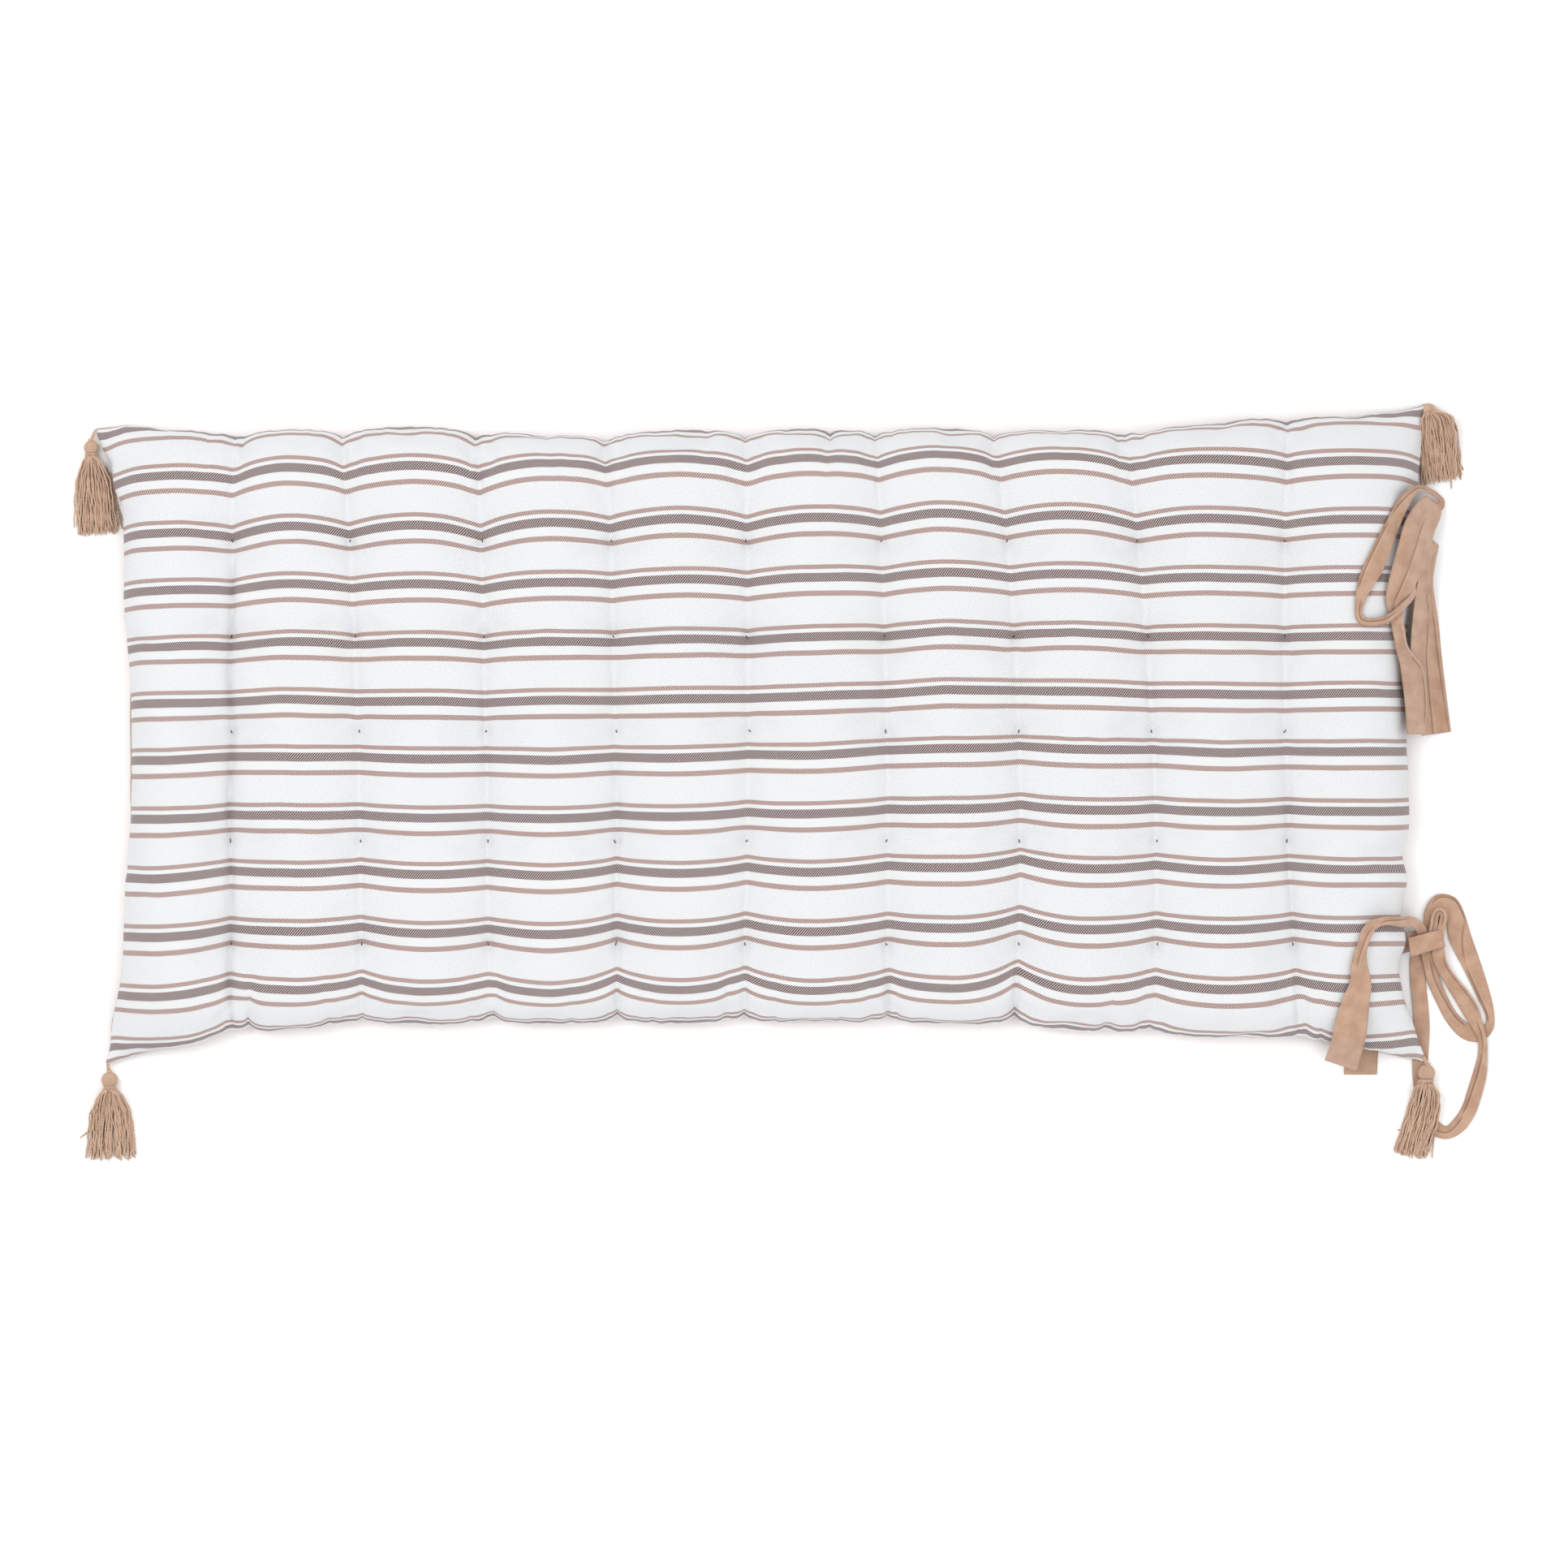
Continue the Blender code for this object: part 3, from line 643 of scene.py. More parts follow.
# Gathers of the cloth along both long seams: x, how far the cloth is drawn in there, and
# how wide the gather is.
BACK_GATHERS = [
    (-529, 3.0, 7), (-498, 6.0, 6), (-408, 7.5, 6), (-392, 2.0, 4), (-372, 1.5, 4),
    (-285, 6.0, 6), (-270, 2.5, 4), (-218, 3.0, 5), (-195, 1.5, 4), (-167, 6.0, 6),
    (-150, 2.0, 4), (-112, 1.5, 5), (-70, 3.0, 5), (-36, 6.0, 6), (-21, 2.5, 4), (0, 2.0, 4),
    (43, 8.0, 6), (60, 2.0, 4), (83, 5.0, 6), (100, 2.0, 4), (150, 1.5, 5), (194, 5.0, 6),
    (215, 2.0, 4), (262, 1.5, 5), (308, 4.5, 6), (329, 4.5, 5), (345, 1.5, 4), (465, 2.5, 8),
]
FRONT_GATHERS = [
    (-530, 2.0, 5), (-515, 3.5, 4), (-495, 10.0, 5), (-421, 5.0, 5), (-404, 2.0, 4),
    (-389, 4.0, 5), (-372, 2.0, 4), (-349, 1.5, 4), (-289, 2.5, 4), (-268, 6.0, 5),
    (-195, 2.0, 4), (-154, 6.0, 5), (-135, 1.5, 4), (-121, 2.5, 4), (-54, 6.5, 5),
    (-37, 5.0, 5), (-10, 2.5, 4), (55, 3.0, 4), (81, 3.0, 4), (95, 4.5, 4), (105, 3.5, 4),
    (213, 9.0, 6), (297, 7.0, 5), (328, 3.5, 5), (338, 2.5, 4), (482, 4.5, 5), (496, 4.0, 4),
]
# Sharp folds down a line of tufts: the line's number, from and to y, and depth.
FOLDS = [
    (0, 205, -226, 5.0), (1, 330, 250, 1.2), (2, 100, -100, 1.3), (2, 330, 260, 1.6),
    (3, 330, 262, 2.2), (3, 20, -222, 2.4), (4, -100, -226, 1.6), (5, -150, -226, 3.4),
    (5, 330, 240, 1.0), (6, -172, -228, 4.5), (6, 330, 280, 1.2), (7, 120, -20, 1.0),
    (8, 10, -236, 2.6),
]
FOLD_SHARP = 1.7
FOLD_FADE = 25.0
VALLEY = 1.0
VALLEY_HALF = 3.2
TUFT_PIT = 2.6
TUFT_PIT_HALF = 5.0
GATHER_DEEP = 0.45
GATHER_REACH = 24.0
GATHER_LEAN = 0.12
RIPPLE = 0.35
LUMP = 0.7
LUMP_ENDS = (-600.0, 572.0)
LUMP_FADE = 40.0

at = mesh_points(pad.data) / MM
normals = np.empty(len(at) * 3)
pad.data.vertices.foreach_get("normal", normals)
upper = ease((normals.reshape(-1, 3)[:, 2] + 0.5) / 0.7)
x, y = at[:, 0], at[:, 1]
low, high = front_y(x), back_y(x)
lines = line_x(np.clip((y - low) / (high - low), 0.0, 1.0))
gap = np.abs(x[:, None] - lines)
near = gap.min(1)
drop = VALLEY * np.exp(-((near / VALLEY_HALF) ** 2))
for line, start, stop, depth in FOLDS:
    run = ease((start - y) / FOLD_FADE + 0.5) * ease((y - stop) / FOLD_FADE + 0.5)
    wander = lines[:, line] + 1.5 * np.sin(y / 23.0 + line)
    drop += depth * run * np.exp(-np.abs(x - wander) / FOLD_SHARP)
row = np.abs(y[:, None] - TUFT_ROWS).min(1)
drop += TUFT_PIT * np.exp(-((np.hypot(near, row) / TUFT_PIT_HALF) ** 2))
pull = np.zeros_like(x)
for gathers, inside, way in ((BACK_GATHERS, high - y, -1), (FRONT_GATHERS, y - low, 1)):
    inside = np.maximum(inside, 0.0)
    reach = np.exp(-inside / GATHER_REACH)
    hold = 0.55 + 0.45 * (1 - np.exp(-inside / 5.0))
    for place, depth, width in gathers:
        slant = GATHER_LEAN * inside * math.sin(place)
        shape = np.exp(-np.abs(x - place - slant) / width)
        pull += way * depth * shape * reach * hold
        drop += GATHER_DEEP * depth * shape * reach * (1 - np.exp(-inside / 3.0))
    ripple = np.sin(x / 2.9 + 1.3 * np.sin(x / 17.0))
    ripple += 0.7 * np.sin(x / 1.7 + 2.0 * np.sin(x / 29.0))
    pull += way * RIPPLE * ripple * np.exp(-inside / 7.0)
lump = np.sin(x / 19.0 + 2.0 * np.sin(y / 31.0)) * np.sin(y / 23.0 + 1.5 * np.sin(x / 37.0))
lump += 0.6 * np.sin(x / 8.5 + 2.5 * np.sin(y / 13.0)) * np.sin(y / 9.5 + 2.0 * np.sin(x / 15.0))
full = np.minimum.reduce([high - y, y - low, x - LUMP_ENDS[0], LUMP_ENDS[1] - x])
full = ease(full / LUMP_FADE)
at[:, 1] += pull
at[:, 2] += upper * (LUMP * lump * full * ease(near / 15) - drop)
at[:, 2] = np.maximum(at[:, 2], 0.0)
set_points(pad.data, at * MM)


def on_map(tree, name="cloth"):
    """Where each point lies on a map of the mesh."""
    return node(tree, "ShaderNodeUVMap", {"uv_map": name})


def split(place, number):
    """The first or the second value of a place."""
    return node(place.tree, "ShaderNodeSeparateXYZ", {}, place, output=number)


def wave(tree, place, scale, distortion, bands="X"):
    """Even ridges, from 0 to 1, across the first or the second value of a place."""
    settings = {"wave_type": "BANDS", "bands_direction": bands}
    return node(tree, "ShaderNodeTexWave", settings, Vector=place, Scale=scale, Distortion=distortion)


def put_bump(shader, strength, distance, height):
    """Fine relief on a material."""
    bump = node(height.tree, "ShaderNodeBump", {}, Strength=strength, Distance=distance, Height=height)
    put(bump, shader.inputs["Normal"])


# Half widths of the stripes and of the whole group, and how far their middles lie from the
# dark stripe's. PICK is the height of one weft thread.
DARK_HALF = 4.15
BROWN_BEHIND = 9.75
BROWN_BEHIND_HALF = 2.0
BROWN_AHEAD = 14.75
BROWN_AHEAD_HALF = 2.4
GROUP_MIDDLE = 2.7
GROUP_HALF = 14.75
GROUP_SOFT = 0.45
PICK = 0.9
PICK_SHARE = 0.35
TWILL_STEP = 2.2
TWILL_LEAN = 0.781
THREAD_SHARE = 0.6
EDGE_SOFT = 0.35
WHITE = paint(248, 249, 250)
WHITE_SHADE = paint(224, 225, 229)
BAND_GAP = paint(221, 209, 207)
DARK_GAP = paint(216, 199, 197)
DARK_YARN = paint(66, 44, 46)
BROWN_YARN = paint(152, 103, 86)

stripe_look, shader, tree = new_material("striped_twill", 0.92, 0.12)
uv = on_map(tree)
u, v = split(uv, 0) * 1000, split(uv, 1) * 1000
flat_place = node(tree, "ShaderNodeCombineXYZ", {}, u, v, 0.0)
drift = (noise(tree, flat_place, 0.03) - 0.5) * 0.8
r = ((v + drift) / STRIPE_PITCH + 0.5).fract() * STRIPE_PITCH - STRIPE_PITCH / 2


def stripe(middle, half, soft=EDGE_SOFT):
    """1 within a stripe and 0 beside it."""
    return 1 - (r - middle).size().step(half - soft, half + soft)


dark = stripe(0.0, DARK_HALF)
brown = stripe(-BROWN_BEHIND, BROWN_BEHIND_HALF).most(stripe(BROWN_AHEAD, BROWN_AHEAD_HALF))
panel = 1 - stripe(GROUP_MIDDLE, GROUP_HALF, soft=GROUP_SOFT)
stair = (v / PICK).floor() * PICK * PICK_SHARE + v * (1 - PICK_SHARE)
weave_place = node(tree, "ShaderNodeCombineXYZ", {}, u * 0.25, v * 0.8, 0.0)
waver = (noise(tree, weave_place, 1.0) - 0.5) * 0.35
stroke = ((u + stair * TWILL_LEAN) / TWILL_STEP + waver).fract()
near = (stroke - 0.5).size()
over = 1 - near.step(THREAD_SHARE / 2 - 0.09, THREAD_SHARE / 2 + 0.09)
fleck = noise(tree, flat_place, 0.9, 1.0)
# Painted shade in the twill's diagonal lines, broken up by flecks, and grey flecks over the wide white
# panels.
shade = over * 0.45 * fleck.step(0.25, 0.8) + panel * fleck.step(0.4, 0.7) * 0.4
colour = mix(tree, shade, WHITE, WHITE_SHADE)
worn = over * (0.86 + fleck * 0.14)
colour = mix(tree, brown * 0.9, colour, BAND_GAP)
colour = mix(tree, dark * 0.95, colour, DARK_GAP)
colour = mix(tree, brown * worn, colour, BROWN_YARN)
colour = mix(tree, dark * worn, colour, DARK_YARN)
put(colour, shader.inputs["Base Color"])
put_bump(shader, 0.4, 0.0002, (stroke * (2 * math.pi)).sine() * 0.5 + fleck * 0.6)

back_look, shader, tree = new_material("plain_camel_back", 0.92, 0.1)
uv = on_map(tree)
warp, weft = (wave(tree, uv, 180.0, 0.6, bands) for bands in "XY")
tone = mix(tree, noise(tree, uv, 60.0), paint(186, 148, 122), paint(204, 170, 146))
put(tone, shader.inputs["Base Color"])
put_bump(shader, 0.4, 0.0003, warp * 0.5 + weft * 0.5)
pad.data.materials.append(stripe_look)
pad.data.materials.append(back_look)
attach(pad, "root")
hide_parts("mattress")

# Tufts
# Each of the forty-five tufts is one short stitch of dark thread, pulled through pad and
# filling and tied off with the same short stitch underneath.
STITCH_LONG = 3.4
STITCH_THICK = 0.55
STITCH_STRAY = 1.3
STITCH_LEAN = 0.45
UNDER_HALF = 1.6


def surface(mesh):
    """Finds the highest and the lowest point of a mesh over a place."""
    tree = BVHTree.FromPolygons([v.co for v in mesh.vertices], [p.vertices for p in mesh.polygons])

    def look(x, y, down=True):
        level, way = (0.2, -1) if down else (-0.1, 1)
        hit = tree.ray_cast(Vector((x * MM, y * MM, level)), Vector((0, 0, way)))[0]
        return None if hit is None else hit.z / MM
    return look


def join_tubes(paths, radius, sides=6):
    """Points and faces of round tubes of even thickness along paths, in millimetres."""
    points, faces = [], []
    turn = np.arange(sides) * 2 * np.pi / sides
    for path in paths:
        path = np.asarray(path, float)
        run = np.gradient(path, axis=0)
        run /= np.linalg.norm(run, axis=1)[:, None]
        first = np.cross(run, (0.31, 0.17, 0.93))
        first /= np.linalg.norm(first, axis=1)[:, None]
        second = np.cross(run, first)
        ring = path[:, None] + radius * (
            np.cos(turn)[:, None] * first[:, None] + np.sin(turn)[:, None] * second[:, None])
        base = sum(len(p) for p in points)
        points.append(ring.reshape(-1, 3))
        for i in range(len(path) - 1):
            for k in range(sides):
                n = (k + 1) % sides
                a = base + i * sides
                faces.append((a + k, a + n, a + n + sides, a + k + sides))
        faces.append(tuple(base + k for k in reversed(range(sides))))
        faces.append(tuple(base + (len(path) - 1) * sides + k for k in range(sides)))
    return np.concatenate(points) * MM, faces


pad_level = surface(pad.data)
rng = np.random.default_rng(7)
stitches = []
for y in TUFT_ROWS:
    share = (y - GRID_FRONT) / (GRID_BACK - GRID_FRONT)
    for x in line_x(share) + rng.normal(0.0, STITCH_STRAY, len(TUFT_LINES)):
        lean = rng.normal(0.0, STITCH_LEAN)
        half = STITCH_LONG / 2 * rng.uniform(0.7, 1.3)
        dx, dy = half * math.sin(lean), half * math.cos(lean)
        top = pad_level(x, y)
        arch = ((-1.0, -0.5), (-0.6, 0.5), (0.0, 0.7), (0.6, 0.5), (1.0, -0.5))
        stitches.append([(x + dx * part, y + dy * part, top + lift) for part, lift in arch])
        low = pad_level(x, y, down=False)
        ends = (-UNDER_HALF, 0.5), (0.0, -0.4), (UNDER_HALF, 0.5)
        stitches.append([(x + part, y, low + lift) for part, lift in ends])
stitch_points, stitch_faces = join_tubes(stitches, STITCH_THICK)
tufts = add_object("tuft_stitches", build_mesh("tuft_stitches", stitch_points, stitch_faces))
thread_look, shader, tree = new_material("dark_thread", 0.8, 0.1)
place = node(tree, "ShaderNodeTexCoord", {}, output="Object")
tone = mix(tree, noise(tree, place, 900.0), paint(74, 66, 64), paint(120, 108, 102))
put(tone, shader.inputs["Base Color"])
tufts.data.materials.append(thread_look)
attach(tufts, "root")

# Ties
# Two pairs of soft cotton ties are sewn into the seam at one end. Each is a straight
# strip with turned edges; where it lies narrow, its spare width is folded under.
TIE_CUT = 30.0
TIE_STEP = 2.6
TIE_CLOTH = 0.7
TIE_LAYER = 1.3
TIE_ACROSS = 41
TIE_CLEAR = 2.0
# The spare width turned under: its points across, its least width and its most as a share
# of the width that shows, and the cloth taken by each half of the turn.
UNDER_ACROSS = 5
LEAST_SPARE = 2.5
MOST_SPARE = 0.9
TURN_OUT = 0.6
DRAPE_IN = 20.0
DRAPE_OUT = 30.0
DRAPE_BELOW_CROWN = 6.0
# How dark the painted shade along a tie's edges and over its layer turned under is, and its half
# width along the edges, the half widths of a crease and of its painted dark line, the lengths over
# which its painted shade and its step fade, and the half width of the painted highlight beside it.
HEM_SHADE = 0.3
HEM_HALF = 0.6
CREASE_HALF = 1.3
CREASE_LINE = 0.7
CREASE_SHADE = 3.5
STEP_FADE = 9.0
HIGHLIGHT_HALF = 0.6

# A row for each turn or fold of a tie, from the seam to its free end, in millimetres and
# degrees. over is 1 where it lies over the pad's edge, 0 where it lies beside the pad.
# lift is how far it is above that, and bearing the way its width points.
TIE_BACK_LOOPED = [
    # x, y, over, lift, bearing, width
    (587.5, 251.0, 0, 20.0, 90, 8),
    (594.0, 251.0, 0, 17.0, 92, 8),
    (602.0, 252.2, 0, 9.5, 102, 7),
    (608.6, 256.2, 0.6, 2.5, 150, 6),
    (608.8, 261.5, 1, 1.2, 205, 5),
    (597.5, 268.6, 1, 1.2, 246, 5),
    (583.0, 270.3, 1, 1.2, 284, 6),
    (569.5, 256.5, 1, 1.2, 322, 11),
    (560.8, 240.0, 1, 1.2, 329, 13),
    (548.0, 212.8, 1, 1.2, 333, 16.4),
    (539.4, 194.0, 1, 1.2, 336, 17.6),
    (531.7, 177.5, 1, 1.2, 346, 12.5),
    (527.0, 159.0, 1, 1.4, 358, 6.5),
    (528.6, 149.6, 1, 2.0, 405, 7),
    (536.8, 147.0, 1, 3.4, 447, 7),
    (553.1, 150.0, 1, 6.2, 474, 6.5),
    (573.2, 166.2, 1, 7.4, 494, 5.5),
    (578.9, 172.6, 1, 5.0, 500, 5),
    (583.2, 181.0, 1, 1.0, 508, 6),
    (590.2, 204.5, 1, 1.0, 510, 10),
    (600.6, 223.0, 1, 2.7, 507, 12),
    (596.5, 208.5, 1, 4.4, 524, 14),
    (592.4, 187.5, 1, 4.4, 530, 16),
    (592.5, 143.3, 1, 1.4, 544, 28),
    (593.6, 115.5, 1, 1.2, 543, 31),
    (603.8, 45.0, 1, 1.2, 548, 28),
]
TIE_BACK_FOLDED = [
    # x, y, over, lift, bearing, width
    (586.6, 237.0, 0, 20.0, 90, 12),
    (592.5, 239.5, 1, 3.6, 112, 15),
    (597.5, 252.5, 1, 4.4, 154, 22),
    (600.8, 261.3, 1, 5.8, 155, 15),
    (596.2, 253.5, 1, 7.6, 156, 26),
    (586.1, 235.5, 1, 8.2, 159, 31),
    (579.2, 214.6, 1, 8.0, 160, 30.5),
    (571.4, 193.0, 1, 7.4, 161, 27.5),
    (566.0, 178.0, 1, 4.6, 162, 24),
    (561.8, 165.5, 1, 3.2, 166, 19),
    (562.5, 153.5, 1, 2.8, 180, 13),
    (565.0, 140.5, 1, 3.2, 186, 11.7),
    (568.5, 123.3, 1, 4.2, 200, 12),
    (574.0, 113.0, 1, 4.8, 204, 17),
    (578.6, 104.5, 1, 5.2, 198, 23),
    (581.5, 88.9, 1, 5.4, 188, 24),
    (583.2, 68.0, 1, 5.4, 183, 22.5),
    (582.6, 44.3, 1, 5.2, 180, 18),
]
TIE_FRONT_BOW = [
    # x, y, over, lift, bearing, width
    (576.2, -144.6, 0, 18.0, 90, 11),
    (588.0, -142.0, 0, 6.0, 107, 11),
    (597.8, -133.5, 0, 4.2, 146, 12),
    (602.0, -122.5, 0, 4.2, 162, 17),
    (608.0, -112.5, 0, 3.5, 118, 17),
    (617.5, -114.5, 0, 2.5, 66, 17),
    (621.8, -124.5, 0, 1.6, 34, 18),
    (626.5, -144.0, 0, 1.6, 20, 20),
    (638.5, -172.5, 0, 1.6, 19, 16),
    (649.2, -200.0, 0, 1.6, 17, 11.5),
    (654.2, -216.0, 0, 1.6, 6, 7.5),
    (653.6, -226.5, 0, 1.6, -28, 8),
    (645.0, -233.0, 0, 1.6, -76, 13),
    (632.5, -231.0, 0, 1.6, -112, 14),
    (619.5, -218.5, 0, 1.6, -140, 12),
    (609.3, -200.0, 0, 1.6, -152, 11),
    (601.5, -181.5, 0, 2.5, -157, 11.5),
    (597.0, -161.3, 0, 6.6, -163, 12),
    (592.8, -147.5, 0, 7.0, -157, 11),
    (589.5, -136.5, 0, 13.5, -142, 9.5),
    (582.5, -129.3, 0.8, 9.0, -115, 9),
    (567.0, -128.0, 1, 3.0, -92, 9.5),
    (551.0, -127.3, 1, 3.0, -84, 7.5),
    (537.3, -133.8, 1, 3.0, -42, 10),
    (529.8, -152.0, 1, 3.0, -12, 10),
    (528.0, -165.0, 1, 2.5, -3, 14),
    (528.7, -185.6, 1, 2.5, -2, 20.5),
    (525.0, -200.0, 1, 2.5, -9, 25),
    (521.4, -220.0, 1, 2.5, -10, 29),
    (517.5, -245.0, 1, 2.5, -11, 30),
    (514.6, -261.5, 1, 5.0, -18, 31),
]
TIE_FRONT_WRAP = [
    # x, y, over, lift, bearing, width
    (577.8, -152.3, 0, 21.0, 97, 17),
    (585.0, -150.5, 0, 17.0, 103, 17),
    (606.0, -144.8, 0, 13.5, 103, 16),
    (610.5, -144.0, 0, 7.5, 103, 16),
    (606.5, -144.8, 0, 2.4, 103, 15),
    (597.0, -148.0, 0, 1.4, 112, 14),
    (587.3, -165.0, 0, 1.2, 176, 14),
    (591.0, -225.0, 0, 1.2, 182, 14),
    (589.5, -270.0, 0, 1.2, 180, 14),
    (595.5, -307.5, 0, 1.2, 200, 14),
    (603.0, -320.0, 0, 1.2, 232, 13),
    (614.5, -324.8, 0, 1.2, 272, 11.5),
    (626.7, -316.5, 0, 1.2, 316, 13.5),
    (635.0, -303.5, 0, 1.2, 330, 13.5),
    (640.7, -286.5, 0, 1.2, 341, 13.5),
    (645.4, -269.0, 0, 1.4, 347, 12),
    (647.6, -253.0, 0, 2.4, 357, 8.5),
    (647.2, -238.0, 0, 4.2, 367, 8),
    (642.6, -225.4, 0, 4.4, 382, 10.5),
    (636.3, -211.0, 0, 4.6, 388, 15),
    (627.9, -197.5, 0, 4.6, 394, 14.4),
    (618.7, -185.0, 0, 6.0, 396, 12.2),
    (610.0, -171.0, 0, 8.0, 392, 11),
    (606.0, -158.0, 0, 9.6, 375, 12),
    (607.0, -142.0, 0, 9.4, 350, 8),
    (610.6, -127.0, 0, 8.4, 352, 6.5),
    (610.2, -121.0, 0, 8.6, 405, 6.5),
    (606.4, -118.6, 0, 9.0, 455, 6.5),
    (602.8, -122.6, 0, 9.4, 525, 6.5),
    (600.8, -135.0, 0, 10.0, 532, 7),
    (597.0, -146.5, 0, 9.8, 508, 8),
    (586.5, -151.0, 0, 9.0, 462, 8.5),
    (574.0, -153.5, 0, 5.5, 464, 8.5),
    (562.0, -159.0, 0, 3.0, 486, 10),
    (551.5, -178.0, 0, 2.4, 508, 17),
    (543.0, -222.8, 0, 1.0, 518, 27),
    (536.3, -245.3, 0, 1.0, 530, 29),
    (534.0, -270.8, 0, 1.0, 540, 30),
]


def drape_level(x, y):
    """How high cloth laid over the pad's right or front edge lies at each place."""
    inside = np.minimum(curve(RIGHT_SEAM, y) - x, y - front_y(x))
    level = ease((inside + DRAPE_OUT) / (DRAPE_IN + DRAPE_OUT)) * (CROWN - DRAPE_BELOW_CROWN)
    for k in np.ndindex(x.shape):
        hit = pad_level(x[k], y[k])
        if hit is not None:
            level[k] = max(level[k], hit + TIE_CLEAR)
    return level


def lay_tie(name, rows, fold, creases, look):
    """A tie on its table's rows, its spare width folded under the side that fold gives.

    creases are rows of (from, to, share at from, share at to, depth, step): soft grooves
    along the tie between two rows of its table, and how far the cloth beyond the groove
    lies higher than the cloth before it.
    """
    rows = np.array(rows, float)
    marks = np.append(0, np.cumsum(np.linalg.norm(np.diff(rows[:, [0, 1, 3]], axis=0), axis=1)))
    at = np.linspace(0, marks[-1], int(marks[-1] / TIE_STEP))
    x, y, over, lift, bearing, width = (curve(np.stack([marks, c], -1), at) for c in rows.T)
    turn = np.radians(bearing)
    spare = np.clip(TIE_CUT - width, LEAST_SPARE, width * MOST_SPARE)
    top = np.linspace(-1.0, 1.0, TIE_ACROSS)
    under = np.linspace(0.0, 1.0, UNDER_ACROSS)
    shares = np.concatenate([
        np.broadcast_to(top, (len(at), TIE_ACROSS)),
        np.full((len(at), 1), 1.02),
        1 - 2 * spare[:, None] / width[:, None] * under,
    ], 1) * fold
    drops = np.concatenate([np.zeros(TIE_ACROSS), [-0.5], np.full(UNDER_ACROSS, -1.0)]) * TIE_LAYER
    px = x[:, None] + np.cos(turn)[:, None] * shares * width[:, None] / 2
    py = y[:, None] + np.sin(turn)[:, None] * shares * width[:, None] / 2
    level = lift[:, None] + np.clip(over, 0, 1)[:, None] * drape_level(px, py)
    for _ in range(3):
        even = level.copy()
        even[1:-1] = (level[:-2] + 2 * level[1:-1] + level[2:]) / 4
        level = np.maximum(level, even)
    row_at = np.interp(at, marks, np.arange(len(rows)))[:, None]
    part = at[:, None] / at[-1]
    relief = 0.35 * np.sin(part * 40 + shares * 1.5) * (width[:, None] / TIE_CUT)
    rim = (1 - np.abs(shares)) * width[:, None] / 2
    # Painted shade for the colour: a dark line along both edges of the tie.
    groove = HEM_SHADE * np.exp(-((rim / HEM_HALF) ** 2))
    crease_highlight = np.zeros_like(groove)
    for start, stop, first, last, depth, step in creases:
        middle = first + (last - first) * (row_at - start) / (stop - start)
        within = ease((row_at - start) / 0.5) * ease((stop - row_at) / 0.5)
        gap = (shares - middle) * width[:, None] / 2
        relief -= depth * within * np.exp(-((gap / CREASE_HALF) ** 2))
        relief += step * within * ease(gap / 1.6 + 0.5) * np.exp(-np.maximum(gap, 0) / STEP_FADE)
        below = -gap if step > 0 else gap
        # Painted shade: a dark line in the crease, and shade over the side below its step.
        groove += 0.85 * within * np.exp(-((gap / CREASE_LINE) ** 2))
        groove += 0.35 * within * ease(below + 0.5) * np.exp(-np.maximum(below, 0) / CREASE_SHADE)
        # A painted highlight along the raised side, just past the crease.
        crease_highlight += within * np.exp(-(((below + CREASE_HALF) / HIGHLIGHT_HALF) ** 2))
    relief[:, TIE_ACROSS:] = 0.0
    # The layer turned under is painted in shade all over.
    groove[:, TIE_ACROSS:] = HEM_SHADE
    pz = np.maximum(level + relief + drops + TIE_LAYER / 2, TIE_CLOTH / 2 + 0.1)
    count = shares.shape[1]
    points = np.stack([px, py, pz], -1).reshape(-1, 3) * MM
    faces = [
        (i * count + k, i * count + k + 1, (i + 1) * count + k + 1, (i + 1) * count + k)
        for i in range(len(at) - 1) for k in range(count - 1)
    ]
    mesh = build_mesh(name + "_cloth", points, faces)
    across = np.concatenate([
        np.broadcast_to((top + 1) / 2, (len(at), TIE_ACROSS)) * width[:, None],
        width[:, None] + TURN_OUT,
        width[:, None] + 2 * TURN_OUT + spare[:, None] * under,
    ], 1)
    place = np.stack([np.broadcast_to(at[:, None], across.shape), across], -1).reshape(-1, 2) * MM
    add_map(mesh, "cloth", place)
    # The second map holds the painted shade and the painted highlight for the tie's colour.
    add_map(mesh, "fold", np.clip(np.stack([groove, crease_highlight], -1).reshape(-1, 2), 0.0, 1.0))
    tie = add_object(name + "_cloth", mesh, look)
    cloth = tie.modifiers.new("cloth", "SOLIDIFY")
    cloth.thickness = TIE_CLOTH * MM
    cloth.offset = 0.0
    settle(tie)
    tie.data.polygons.foreach_set("use_smooth", [True] * len(tie.data.polygons))
    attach(tie, "root")
    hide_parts(name)


tie_look, shader, tree = new_material("brushed_cotton_tie", 0.95, 0.25)
uv = on_map(tree)
across = split(uv, 1) * 1000
# The tie's painted shade and painted highlight, from the second map made in lay_tie.
fold = on_map(tree, "fold")
groove, crease_highlight = split(fold, 0), split(fold, 1)
cloud = noise(tree, uv, 70.0, 3.0)
tone = mix(tree, cloud.step(0.3, 0.7), paint(192, 150, 124), paint(212, 174, 148))
hair = noise(tree, uv, 900.0, 2.0)
tone = mix(tree, hair.step(0.42, 0.75) * 0.45, tone, paint(216, 186, 162))
rust = noise(tree, uv, 1400.0, 1.0)
tone = mix(tree, rust.step(0.55, 0.7) * 0.3, tone, paint(184, 128, 98))
# A painted highlight along the tie's turned edge, broken up by the cloud.
edge_highlight = 1 - (across - 0.5).size().step(0.4, 1.0)
tone = mix(tree, edge_highlight * cloud.step(0.35, 0.65) * 0.35, tone, paint(222, 196, 172))
